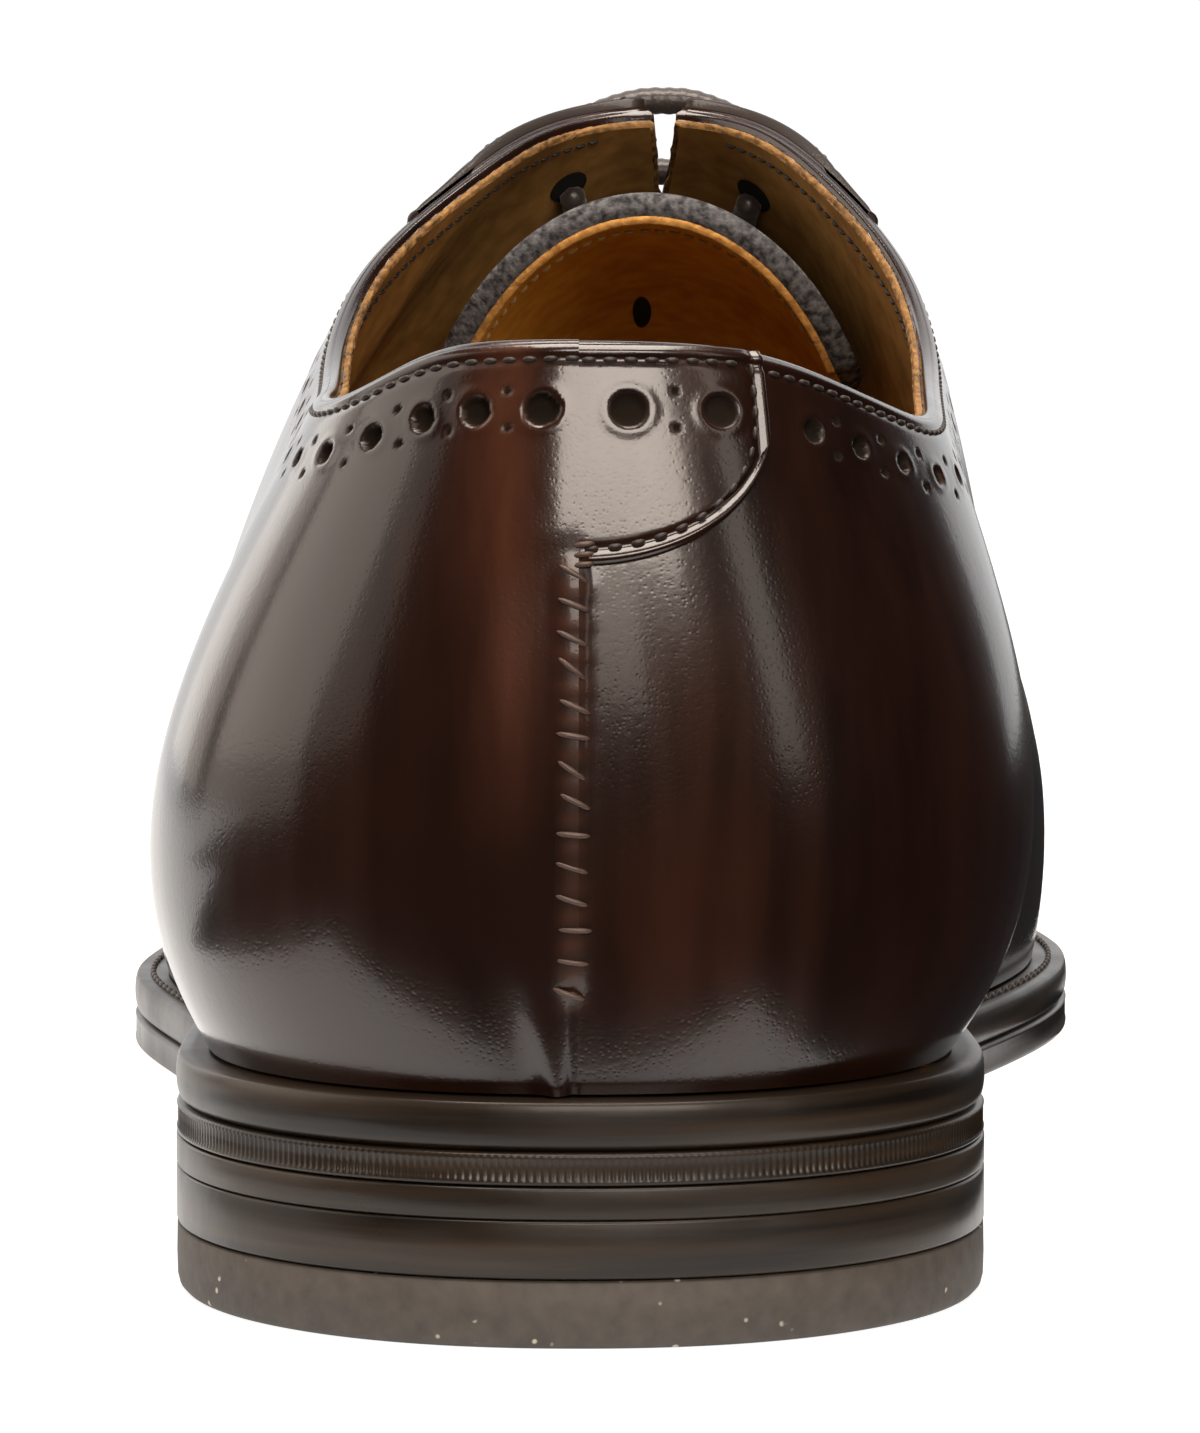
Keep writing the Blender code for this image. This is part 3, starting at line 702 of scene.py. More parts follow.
@dataclass(frozen=True)
class EdgeInk:
    """Inked and waxed sole edge, with fine lines along the layers."""

    name: str
    dark: Colour = (0.006, 0.0038, 0.0024)
    light: Colour = (0.038, 0.0245, 0.015)
    roughness: float = 0.34
    coat: float = 0.12
    line: float = 0.05

    def build(self) -> bpy.types.Material:
        """Makes the material."""
        s = Shader(self.name)
        layers = s.noise(260.0, 4.0, (0.08, 0.08, 2.2))
        smear = s.noise(70.0, 3.0)
        colour = s.blend(s.spread(layers, 0.35, 0.75), self.dark, self.light)
        normal = s.bump(layers, self.line)
        normal = s.bump(s.noise(700.0, 2.0), 0.02, normal)
        rough = s.spread(smear, 0.3, 0.7, (self.roughness * 0.8, self.roughness * 1.35))
        return s.finish(Base_Color=colour, Roughness=rough, Normal=normal, Coat_Weight=self.coat,
                        Coat_Roughness=0.18, Specular_IOR_Level=0.32)


@dataclass(frozen=True)
class MattRubber:
    """Grey-brown heel rubber with dust specks."""

    name: str
    dark: Colour = (0.041, 0.033, 0.027)
    light: Colour = (0.071, 0.058, 0.047)
    dust: Colour = (0.46, 0.40, 0.33)
    roughness: float = 0.68

    def build(self) -> bpy.types.Material:
        """Makes the material."""
        s = Shader(self.name)
        mottle = s.spread(s.noise(620.0, 6.0), 0.25, 0.75)
        colour = s.blend(mottle, self.dark, self.light)
        speck = s.spread(s.cells(620.0), 0.20, 0.12)
        sparse = s.spread(s.noise(300.0, 2.0), 0.57, 0.61)
        colour = s.blend(s.sum("MULTIPLY", speck, sparse), colour, self.dust)
        normal = s.bump(s.noise(1300.0, 3.0), 0.05)
        return s.finish(Base_Color=colour, Roughness=self.roughness, Normal=normal)


@dataclass(frozen=True)
class PlainFinish:
    """One colour with a little fibre bump: threads, lace and the painted shade of holes."""

    name: str
    colour: Colour
    roughness: float
    fibre: float = 0.0
    sheen: float = 0.0

    def build(self) -> bpy.types.Material:
        """Makes the material."""
        s = Shader(self.name)
        values = {"Base_Color": self.colour, "Roughness": self.roughness, "Sheen_Weight": self.sheen}
        if self.fibre:
            values["Normal"] = s.bump(s.noise(2400.0, 2.0), self.fibre)
        return s.finish(**values)


class Finishes:
    """Every material of the shoe, built once."""

    def __init__(self) -> None:
        """Builds the materials."""
        self.leather = PolishedLeather("polished_leather").build()
        self.rim = RawLeather(
            "rim_lining", (0.05, 0.024, 0.008), (0.44, 0.23, 0.075), 0.25, 1100.0, 0.8, 0.5).build()
        self.lining = RawLeather("quarter_lining", (0.22, 0.107, 0.026), (0.58, 0.31, 0.088), 0.08).build()
        self.tongue_edge = RawLeather(
            "tongue_edge", (0.012, 0.012, 0.014), (0.17, 0.165, 0.17), 0.30, 1300.0, 0.85, 0.8).build()
        self.tongue_lining = RawLeather(
            "tongue_lining", (0.54, 0.22, 0.022), (0.86, 0.45, 0.060), 0.08).build()
        self.tongue_rim = RawLeather(
            "tongue_rim", (0.30, 0.120, 0.024), (0.70, 0.36, 0.095), 0.25, 1100.0, 0.8, 0.6).build()
        # dark sheets that paint the shade in the eyelet holes and the tongue's slit
        self.hole_shade = PlainFinish("painted_hole_shade", (0.004, 0.003, 0.0025), 0.9).build()
        self.sock = RawLeather("sock", (0.10, 0.055, 0.020), (0.21, 0.115, 0.045), 0.05).build()
        self.sole_edge = EdgeInk("sole_edge").build()
        self.sole_bottom = RawLeather("sole_bottom", (0.10, 0.055, 0.028), (0.20, 0.12, 0.065), 0.04).build()
        self.rubber = MattRubber("heel_rubber").build()
        self.thread = PlainFinish("thread", (0.020, 0.011, 0.008), 0.5, 0.03, 0.1).build()
        self.seam_thread = PlainFinish("seam_thread", (0.085, 0.048, 0.036), 0.42, 0.03).build()
        self.tan_thread = PlainFinish("tan_thread", (0.30, 0.17, 0.055), 0.6, 0.03, 0.2).build()
        self.lace = PlainFinish("lace", (0.034, 0.024, 0.020), 0.36, 0.05, 0.2).build()


class Pile:
    """Grids of points that make up one mesh."""

    def __init__(self, *grids: Array) -> None:
        """Starts with these grids."""
        self.points: list[Array] = []
        self.quads: list[Array] = []
        self.count = 0
        for grid in grids:
            self.add(grid)

    def add(self, grid: Array, flip: bool = False) -> None:
        """Adds a grid of points.

        Args:
            grid: rows and columns of points.
            flip: whether to turn its faces over.
        """
        rows, columns = grid.shape[:2]
        a = self.count + np.arange(rows - 1)[:, None] * columns + np.arange(columns - 1)[None, :]
        corners = np.stack([a, a + columns, a + columns + 1, a + 1], axis=-1).reshape(-1, 4)
        self.quads.append(corners[:, ::-1] if flip else corners)
        self.points.append(grid.reshape(-1, 3))
        self.count += rows * columns


@dataclass(frozen=True)
class Thread:
    """Size of one stitch: its length and half its thickness."""

    length: float
    radius: float


class Seam:
    """Rows of stitches that make up one piece."""

    def __init__(self) -> None:
        """Starts without a stitch."""
        self.middles: list[Array] = []
        self.ways: list[Array] = []
        self.normals: list[Array] = []

    def add(
        self, points: Array, normals: Array, lift: Union[Array, float], ways: Optional[Array] = None,
    ) -> None:
        """Adds a row with a stitch over each point.

        Args:
            points: points of the surface.
            normals: its normals there.
            lift: distance of each stitch, or of all, from the surface.
            ways: direction of each stitch, or None to lay them along the row.
        """
        self.middles.append(points + normals * np.reshape(lift, (-1, 1)))
        self.ways.append(np.gradient(points, axis=0) if ways is None else ways)
        self.normals.append(normals)


class Maker:
    """Turns grids of points into mesh objects that ride with the shoe."""

    def __init__(self, form: LastForm) -> None:
        """Keeps the form that places points in the frame."""
        self.form = form

    def add(
        self,
        name: str,
        pile: Pile,
        material: bpy.types.Material,
        slot: str,
        replaces: Sequence[str] = (),
        attributes: Optional[dict[str, Array]] = None,
        turn_out: bool = False,
        more: Sequence[tuple[bpy.types.Material, Array]] = (),
    ) -> None:
        """Makes one piece, welds its seams, attaches it to the root body and hides the solids it stands for.

        Args:
            name: object name.
            pile: grids of points in shoe millimetres.
            material: first material.
            slot: not used.
            replaces: solids that this piece stands for.
            attributes: float values for each point.
            turn_out: whether to point the faces of a closed piece outwards.
            more: further materials, each with the mask of its quads.
        """
        points, quads = np.concatenate(pile.points), np.concatenate(pile.quads)
        mesh = bpy.data.meshes.new(name)
        mesh.vertices.add(len(points))
        mesh.vertices.foreach_set("co", self.form.place(points).astype(np.float32).ravel())
        mesh.loops.add(quads.size)
        mesh.loops.foreach_set("vertex_index", quads.astype(np.int32).ravel())
        mesh.polygons.add(len(quads))
        mesh.polygons.foreach_set("loop_start", np.arange(0, quads.size, 4, dtype=np.int32))
        mesh.materials.append(material)
        index = np.zeros(len(quads), np.int32)
        for number, (other, mask) in enumerate(more, 1):
            mesh.materials.append(other)
            index[mask] = number
        mesh.polygons.foreach_set("material_index", index)
        mesh.update(calc_edges=True)
        for key, values in (attributes or {}).items():
            layer = mesh.attributes.new(key, "FLOAT", "POINT")
            layer.data.foreach_set("value", np.asarray(values, np.float32).ravel())
        work = bmesh.new()
        work.from_mesh(mesh)
        bmesh.ops.remove_doubles(work, verts=work.verts, dist=2e-7)
        bmesh.ops.dissolve_degenerate(work, edges=work.edges, dist=1e-9)
        if turn_out:
            bmesh.ops.recalc_face_normals(work, faces=work.faces)
        work.to_mesh(mesh)
        work.free()
        mesh.shade_smooth()
        obj = bpy.data.objects.new(name, mesh)
        bpy.context.scene.collection.objects.link(obj)
        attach(obj, "root")
        if replaces:
            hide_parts(*replaces)
        LOG.info("%s: %d faces", name, len(mesh.polygons))

    def stitches(
        self, name: str, seam: Seam, thread: Thread, material: bpy.types.Material, slot: str,
    ) -> None:
        """Many short threads: a capsule of rings round each way, as one mesh.

        Args:
            name: object name.
            seam: the stitches.
            thread: size of each stitch.
            material: thread material.
            slot: not used.
        """
        u = np.array((-1.0, -0.92, -0.7, -0.3, 0.3, 0.7, 0.92, 1.0))
        swell = np.array((0.0, 0.45, 0.8, 1.0, 1.0, 0.8, 0.45, 0.0))
        turn = np.linspace(0.0, 2 * np.pi, 7)
        middles, ways = np.concatenate(seam.middles), unit(np.concatenate(seam.ways))
        across = unit(np.cross(np.concatenate(seam.normals), ways))
        up = np.cross(ways, across)
        ring = across[:, None, None, :] * np.cos(turn)[None, None, :, None]
        ring = ring + up[:, None, None, :] * np.sin(turn)[None, None, :, None]
        ahead = (u * thread.length / 2)[None, :, None, None]
        spine = middles[:, None, None, :] + ways[:, None, None, :] * ahead
        sink = up[:, None, None, :] * (thread.radius * 0.5 * (1 - 2.2 * u**4))[None, :, None, None]
        points = spine + sink + ring * (swell * thread.radius)[None, :, None, None]
        self.add(name, Pile(*points), material, slot, turn_out=True)


@dataclass
class Brogue:
    """Punched decoration along an edge: big holes with pairs of pinholes between."""

    pitch: float = 5.5
    away: float = 5.4
    big: float = 1.52
    least: float = 0.85
    taper: float = 0.02
    small: float = 0.46
    spread: float = 1.5
    depth: float = 1.0
    wall: float = 0.5
    rim: float = 0.07

    def holes(self, first: float, last: float) -> Array:
        """Lays out the holes.

        Args:
            first: run of the first big hole.
            last: run that no big hole lies beyond.

        Returns:
            Run, distance from the edge and radius of every hole.
        """
        count = int((last - first) / self.pitch + 1e-6) + 1
        run = first + self.pitch * np.arange(count)
        rows = [(r, self.away, max(self.least, self.big - self.taper * r)) for r in run]
        for r in run[:-1] + self.pitch / 2:
            rows += [(r, self.away - self.spread, self.small), (r, self.away + self.spread, self.small)]
        return np.array(rows)

    def punch(self, run: Array, away: Array, holes: Array) -> tuple[Array, Array]:
        """Height and cut mask of the punched surface; the cut mask paints shade into each hole.

        A hole falls over the width wall inside its radius, and only a big one has a rim.

        Args:
            run: runs along the edge.
            away: distances from the edge.
            holes: run, distance and radius of every hole.

        Returns:
            Height in millimetres and cut from 0 to 1, for each place.
        """
        height, cut = np.zeros(run.shape), np.zeros(run.shape)
        for r, d, radius in holes:
            near = (np.abs(run - r) < radius + 1.8) & (np.abs(away - d) < radius + 1.8)
            gap = np.hypot(run[near] - r, away[near] - d)
            big = radius > self.small
            inside = 1 - ease((gap - radius + self.wall) / self.wall)
            rim = self.rim * big * bell(gap, radius + 0.35, 0.4)
            height[near] += rim - self.depth * (1.0 if big else 0.5) * inside
            # painted shade in the hole, carried by the cut mask
            cut[near] = np.maximum(cut[near], 1 - ease((gap - radius + 0.3) / 0.4))
        return height, cut


@dataclass
class Upper:
    """The outer leather: quarters and vamp as one fine grid with pressed and punched detail."""

    form: LastForm
    sections: dict[Side, SectionMap]
    toplines: dict[Side, Topline]
    brogue: Brogue = field(default_factory=Brogue)
    fine: float = 0.3
    fine_end: float = 93.0
    coarse: tuple[float, float, float] = (0.9, 1.5, 1.8)
    toe_from: float = 236.0
    band: float = 9.3
    lower_rows: int = 56
    hole_end: float = 86.0
    stitch_away: float = 1.35
    stitch_pitch: float = 1.65
    stitch_end: float = 87.0
    stitch_sunk: float = 0.20
    thread: Thread = Thread(1.3, 0.24)
    zigzag_thread: Thread = Thread(2.8, 0.25)
    seam_foot_x: float = -0.55
    seam_foot: float = 20.5
    seam_slope: float = 0.003
    seam_top: float = 64.0
    zigzag_end: float = 27.5
    zigzag_pitch: float = 2.6
    shoulder: float = 0.45
    shoulder_reach: float = 7.0
    lap: float = 0.55
    lap_reach: float = 9.0
    lap_end: float = 18.0
    turned: float = 0.4
    collar_zone: tuple[float, float] = (95.0, 55.0)
    seam_zone: tuple[float, float] = (30.0, 70.0)

    # Run of the first big hole and of the first stitch from the back seam.
    FIRST_HOLE = {Side.LATERAL: 2.9, Side.MEDIAL: 21.6}
    FIRST_STITCH = {Side.LATERAL: 0.5, Side.MEDIAL: 17.0}
    # Station, slant and depth of each soft trough behind the ball.
    TROUGHS = ((178.0, 0.16, 0.20), (189.0, 0.10, 0.28), (200.0, 0.05, 0.18))

    def stations(self) -> Array:
        """Stations from the back seam to the toe: by run along the collar, then coarser."""
        line = self.toplines[Side.LATERAL]
        fine_run = np.arange(0.0, line.run_to(self.fine_end), self.fine)
        toe = self.form.length - self.form.toe_inset
        turn = np.linspace(0.0, np.pi / 2, 42)[1:]
        by_collar, by_throat, by_vamp = self.coarse
        return np.concatenate([
            line.station(fine_run),
            np.arange(self.fine_end + 0.5, self.form.facing_top, by_collar),
            np.arange(self.form.facing_top, self.form.throat_end, by_throat),
            np.arange(self.form.throat_end, self.toe_from, by_vamp),
            toe - (toe - self.toe_from) * (1 - np.sin(turn)),
        ])

    def seam_x(self, height: Array) -> Array:
        """x of the back seam at a height."""
        return self.seam_foot_x + self.seam_slope * (height - self.seam_foot)

    def hem(self, away: Array) -> Array:
        """Height of the turned edge: a round shoulder, a low bead and the groove of its stitches."""
        groove = 0.18 * bell(away, self.stitch_away, 0.35)
        return 0.08 * bell(away, 0.65, 0.4) - 0.30 * bell(away, 0.0, 0.4) - groove

    def lapped(self, side: Side, run: Array, away: Array) -> Array:
        """Height of the lateral quarter where it laps over the medial one.

        It falls away from the seam, and below the heel tab, where the medial quarter rises to meet it.

        Args:
            side: side of the shoe.
            run: runs along the collar from the back seam.
            away: distances below the collar.

        Returns:
            Height in millimetres.
        """
        height = self.lap * (1 - ease((away - self.lap_end + 3.5) / 6.5))
        if side is Side.LATERAL:
            return height * (1 - ease(run / self.lap_reach))
        return height * (1 - ease(run / 1.2)) * ease((away - self.lap_end + 0.8) / 0.8)

    def relief(self, side: Side, points: Array, along: Array) -> tuple[Array, Array]:
        """Height and cut mask over the smooth last.

        Height is a turned-in top edge, the punched row, a raised back seam with its crease,
        and soft troughs where the leather gives behind the ball and under the ankle.

        Args:
            side: side of the shoe.
            points: points of the smooth last.
            along: their stations.

        Returns:
            Height in millimetres and cut from 0 to 1, for each point.
        """
        line = self.toplines[side]
        height, cut = np.zeros(along.shape), np.zeros(along.shape)
        x, z = points[..., 0], points[..., 2]
        near = (along < self.collar_zone[0]) & (z > self.collar_zone[1])
        run, away = line.nearest(points[near])
        holes = self.brogue.holes(self.FIRST_HOLE[side], line.run_to(self.hole_end))
        punched, cut[near] = self.brogue.punch(run, away, holes)
        height[near] = self.hem(away) + punched + self.lapped(side, run, away)
        back = (along < self.seam_zone[0]) & (z < self.seam_zone[1])
        # the back seam's ridge is darkened and dulled so that it shows no highlight
        seam, ridge_dulling = self.seam_relief(x, z)
        height = height + np.where(back, seam, 0.0)
        cut = np.where(back, np.maximum(cut, ridge_dulling), cut)
        ankle = bell(along, 70.0, 26.0) * bell(z, 60.0, 9.0)
        height = height - 0.35 * ankle * (0.5 + 0.5 * np.cos(along / 8.0 + side.value))
        for station, slant, depth in self.TROUGHS:
            trough = bell(along + slant * np.abs(x), station + 3.0, 2.6) * ease((z - 22.0) / 18.0)
            height = height - depth * trough
        return height, cut

    def ripple(self, z: Array) -> Array:
        """Wave along the back seam, from -1 at each thread of the zigzag to 1 between two."""
        return np.cos(2 * np.pi * (z - self.zigzag_end) / self.zigzag_pitch)

    def seam_relief(self, x: Array, z: Array) -> tuple[Array, Array]:
        """Height and dulling of the back seam.

        The lateral leather rises to the seam in a shoulder, puckered by the zigzag. Below the
        zigzag the seam is a crease, beside which the leather spreads in a lip at its foot.

        Args:
            x: x of the points.
            z: their heights.

        Returns:
            Height in millimetres and dulling from 0 to 1, for each point.
        """
        off = x - self.seam_x(z)
        rise = ease((z - self.zigzag_end) / 4.0)
        ends = 1 - ease((z - self.seam_top + 3.0) / 4.0)
        pucker = 0.13 * bell(off, 0.0, 1.3) * self.ripple(z)
        left = np.clip(1 + off / self.shoulder_reach, 0.0, 1.0) ** 2
        ridge = self.shoulder * np.where(off < 0.0, left, 1 - ease(off / 1.6)) + pucker
        ridge += 0.30 * bell(off, 0.0, 1.4) - 0.04 * bell(off, -1.9, 0.35)
        crease = 0.25 * bell(off, 0.0, 0.3) * (1 - 0.7 * rise)
        spread = np.maximum(z - 20.0, 0.0)
        lip = 0.62 * (1 - ease((z - 22.0) / 18.0)) * bell(off, -1.2 - 0.18 * spread, 1.0 + 0.10 * spread)
        # the ridge is darkened and loses its gloss, so that it shows no highlight
        return (ridge * rise - crease) * ends + lip, 0.35 * bell(off, 0.0, 1.2) * rise * ends

    def build(self, maker: Maker, finishes: Finishes) -> None:
        """Builds the leather: rows fall from the top edge to the welt at each station."""
        along = self.stations()
        fine_rows = np.arange(0.0, self.band, self.fine)
        share = np.linspace(0.0, 1.0, self.lower_rows + 1)[1:]
        pile, cuts, lit_and_seam_tints = Pile(), [], []
        for side, section in self.sections.items():
            top, bottom = section.top(along), section.bottom(along)
            whole = (bottom - top)[:, None]
            band = np.minimum(fine_rows[None, :], whole * fine_rows[None, :] / 30.0)
            last = band[:, -1:]
            down = np.concatenate([band, last + (whole - last) * (0.55 * share + 0.45 * share**2)], axis=1)
            s = np.broadcast_to(along[:, None], down.shape)
            w = section.parameter(s, top[:, None] + down)
            w[:, 0] = self.form.collar_share(along, side)
            w[:, -1] = 0.0
            smooth = self.form.point(s, side, w)
            height, cut = self.relief(side, smooth, s)
            normal = self.form.normal(s, side, w)
            grid = smooth + normal * height[..., None]
            turned = smooth[:, :1] - self.turned * normal[:, :1]
            beyond = along >= self.form.throat_end + 1e-6
            ridge = smooth[:, 0].copy()
            ridge[:, 2] += height[:, 0]
            turned[beyond, 0] = grid[beyond, 0] = ridge[beyond]
            grid = np.concatenate([turned, grid], axis=1)
            cut = np.concatenate([cut[:, :1], cut], axis=1)
            grid[0, :, 0] = 0.0
            if side is Side.LATERAL:
                back_column = grid[0].copy()
            else:
                under_tab = np.abs(grid[0] - back_column).max(axis=-1, keepdims=True) > 0.03
                grid[0] = np.where(under_tab, grid[0], back_column)
            grid[-1] = smooth[-1, -1]
            pile.add(grid, flip=side is Side.MEDIAL)
            cuts.append(cut.ravel())
            # painted light beside the back seam, as a share for each point
            lit_and_seam_tints.append(self.lit_and_seam_share(grid).ravel())
        values = {"cut": np.concatenate(cuts), "lit_and_seam_tint": np.concatenate(lit_and_seam_tints)}
        maker.add("upper_leather", pile, finishes.leather, "upper_leather", ("upper",), values)
        self.stitch(maker, finishes)

    def lit_and_seam_share(self, points: Array) -> Array:
        """Share of painted light: lighter and redder beside the back seam, where the heel's back faces the
        front lamps, fainter on the other side of it, with a redder tint on its ridge between the threads.

        Args:
            points: points of the leather.

        Returns:
            Share from 0 to 1 for each point.
        """
        x, along, z = points[..., 0], points[..., 1], points[..., 2]
        # painted light, strongest 6 mm to the lateral side of the seam and fainter to the medial side, where
        # the heel faces the front lamps
        left = 0.75 * bell(x, -6.0, 3.2) * ease((z - 34.0) / 20.0)
        right = 0.28 * bell(x, 9.0, 7.5) * ease((z - 18.0) / 16.0) * (1 - 0.6 * ease((z - 55.0) / 8.0))
        # a redder tint on the seam's ridge between the threads
        between = (0.5 + 0.5 * self.ripple(z)) * (z > self.zigzag_end) * (z < self.seam_top)
        ridge = 1.2 * between * bell(x, self.seam_x(z), 1.0)
        return np.where(along < 25.0, np.clip(left + right + ridge, 0.0, 1.0), 0.2)

    def stitch(self, maker: Maker, finishes: Finishes) -> None:
        """Sews the row under the collar edge and the zigzag of the back seam."""
        row, seam = Seam(), Seam()
        for side, line in self.toplines.items():
            run = np.arange(self.FIRST_STITCH[side], line.run_to(self.stitch_end), self.stitch_pitch)
            point, normal = self.sections[side].at(*line.below(run, self.stitch_away))
            lap = self.lapped(side, run, np.full_like(run, self.stitch_away))
            row.add(point, normal, lap - self.stitch_sunk)
        maker.stitches("topline_stitches", row, self.thread, finishes.thread, "upper_leather")
        rng = np.random.default_rng(11)
        z = np.arange(self.zigzag_end + self.zigzag_pitch / 2, self.seam_top, self.zigzag_pitch)
        z = z + rng.normal(0.0, 0.12, len(z))
        slope = rng.normal(-0.28, 0.28, len(z))
        x = self.seam_x(z) + rng.normal(0.0, 0.16, len(z))
        middle, normal = self.back_points(x, z)
        depth = 0.46 + rng.normal(0.0, 0.05, len(z))
        seam.add(middle, normal, depth, np.stack([np.ones_like(z), np.zeros_like(z), slope], axis=-1))
        maker.stitches("back_seam_stitches", seam, self.zigzag_thread, finishes.seam_thread, "upper_leather")

    def back_points(self, x: Array, z: Array) -> tuple[Array, Array]:
        """Finds places on the back of the heel, as the nearest of a fine net.

        Args:
            x: x of the places.
            z: their heights.

        Returns:
            Points and normals.
        """
        found, normals = np.zeros((len(x), 3)), np.zeros((len(x), 3))
        reach = self.form.heel_start + 5.0 * np.linspace(0.0, 1.0, 200) ** 2
        along, w = np.meshgrid(reach, np.linspace(0.0, 0.75, 300), indexing="ij")
        for side in Side:
            mask = x * side.value >= 0
            net = self.form.point(along, side, w).reshape(-1, 3)
            gap = np.abs(net[:, 0] - x[mask, None]) + np.abs(net[:, 2] - z[mask, None])
            best = gap.argmin(axis=1)
            found[mask] = net[best]
            normals[mask] = self.form.normal(along.ravel()[best] + 0.02, side, w.ravel()[best])
        return found, normals


@dataclass
class HeelTab:
    """The lateral quarter's tab that laps over the back seam, with its own row of stitches."""

    form: LastForm
    sections: dict[Side, SectionMap]
    toplines: dict[Side, Topline]
    upper: Upper
    reach: float = 15.6
    straight: float = 4.5
    drop: float = 18.0
    power: float = 2.1
    narrow: float = 0.2
    thick: float = 0.95
    thick_from: float = 15.0
    bead: float = 0.5
    stitch_in: float = 1.35
    corner: float = 0.8
    tack: tuple[float, ...] = (-1.7, -0.9, -0.1)
    hole_span: tuple[float, float] = (3.8, 11.5)
    brogue: Brogue = field(default_factory=lambda: Brogue(pitch=7.3, taper=0.0, depth=0.5))
    stitch_pitch: float = 1.75
    stitch_sunk: float = 0.22
    thread: Thread = Thread(1.3, 0.25)
    tack_thread: Thread = Thread(1.8, 0.25)

    def fall(self, run: Array) -> Array:
        """How far the tab hangs below the collar edge at a run past the seam."""
        t = np.clip(np.maximum(run, 0.0) / self.reach, 0.0, 1.0)
        rounded = np.maximum(1 - t**self.power, 0.0) ** (1 / self.power)
        return self.straight + (self.drop - self.straight) * rounded

    def at(self, run: Array, away: Array) -> tuple[Array, Array]:
        """Places on the medial quarter under the tab, which narrows downwards.

        Args:
            run: runs past the seam.
            away: distances below the collar edge.

        Returns:
            Points and normals.
        """
        run = run * (1 - self.narrow * away / self.drop)
        along, rho = self.toplines[Side.MEDIAL].below(run, away)
        points, normals = self.sections[Side.MEDIAL].at(np.maximum(along, self.form.heel_start + 2e-4), rho)
        points[..., 0] = np.where(run <= 0.0, 0.0, points[..., 0])
        return points, normals

    def build(self, maker: Maker, finishes: Finishes) -> None:
        """Builds the tab: it leaves the lateral quarter at that quarter's height, and its edge turns down."""
        run = np.concatenate([
            np.arange(0.0, self.reach - 1.0, 0.26),
            self.reach - np.linspace(1.0, 0.0, 12) ** 1.6,
            np.full(3, self.reach),
        ])
        share = np.r_[0.0, np.linspace(0.0, 0.93, 68), np.linspace(0.935, 1.0, 14), np.ones(3)]
        grid_run = np.broadcast_to(run[:, None], (len(run), len(share)))
        away = self.fall(run)[:, None] * share[None, :]
        point, normal = self.at(grid_run, away)
        quarter = self.upper.lapped(Side.LATERAL, np.zeros(away.shape), away)
        edge = np.minimum(self.fall(run)[:, None] - away, np.maximum(self.reach - grid_run, 0.0))
        lift = self.height(grid_run)
        lift -= self.bead * (1 - np.sqrt(1 - (1 - np.clip(edge / self.bead, 0.0, 1.0)) ** 2))
        lift += 0.16 * bell(edge, 0.55, 0.4) - 0.20 * bell(edge, self.stitch_in, 0.33)
        lift = quarter + (lift - quarter) * ease(grid_run / self.corner)
        punched, cut = self.brogue.punch(grid_run, away, self.brogue.holes(*self.hole_span))
        lift += self.upper.hem(away) + punched
        lift[:, 0] = -0.3
        for k, highest in ((-3, 0.55), (-2, 0.2), (-1, -0.25)):
            lift[:, k] = np.minimum(lift[:, k], highest)
            lift[k, :] = np.minimum(lift[k, :], highest)
        grid = point + normal * lift[..., None]
        grid[0, :, 0] = 0.0
        # the tab gets the same painted light beside the seam as the quarters, and painted shade in its holes
        maker.add("heel_tab_leather", Pile(grid), finishes.leather, "upper_leather", ("heel_tab",),
                  {"cut": cut, "lit_and_seam_tint": self.upper.lit_and_seam_share(grid)})
        self.stitch(maker, finishes)

    def height(self, run: Array) -> Array:
        """Height of the tab's face: the quarter's own at the seam, its full thickness further on."""
        return self.upper.lap + (self.thick - self.upper.lap) * ease(run / self.thick_from)

    def stitch(self, maker: Maker, finishes: Finishes) -> None:
        """Sews round the tab inside its edge, and along its top."""
        t = np.linspace(0.0, self.reach - 1e-3, 400)
        hanging = np.stack([t, self.fall(t)], axis=-1)
        upright = np.stack([np.full(40, self.reach), np.linspace(self.straight, 0.6, 40)], axis=-1)
        outline = np.concatenate([hanging, upright])
        way = unit(np.gradient(outline, axis=0))
        inner = outline + self.stitch_in * np.stack([way[:, 1], -way[:, 0]], axis=-1)
        inner = inner[(inner[:, 0] > 0.3) & (inner[:, 1] > 1.2)]
        edge = spaced(inner, 0.6, self.stitch_pitch)[0]
        start = np.arange(0.8, self.reach - 1.8, self.upper.stitch_pitch)
        top = np.stack([start, np.full_like(start, self.stitch_in)], axis=-1)
        row, tack = Seam(), Seam()
        for run, away in (edge.T, top.T):
            row.add(*self.at(run, away), self.height(run) - self.stitch_sunk)
        maker.stitches("heel_tab_stitches", row, self.thread, finishes.thread, "upper_leather")
        point, normal = self.at(np.full(len(self.tack), 0.4), self.drop + np.array(self.tack))
        tack.add(point, normal, 0.45, np.tile((1.0, 0.0, 0.12), (len(point), 1)))
        maker.stitches("heel_tab_tack", tack, self.tack_thread, finishes.seam_thread, "upper_leather")


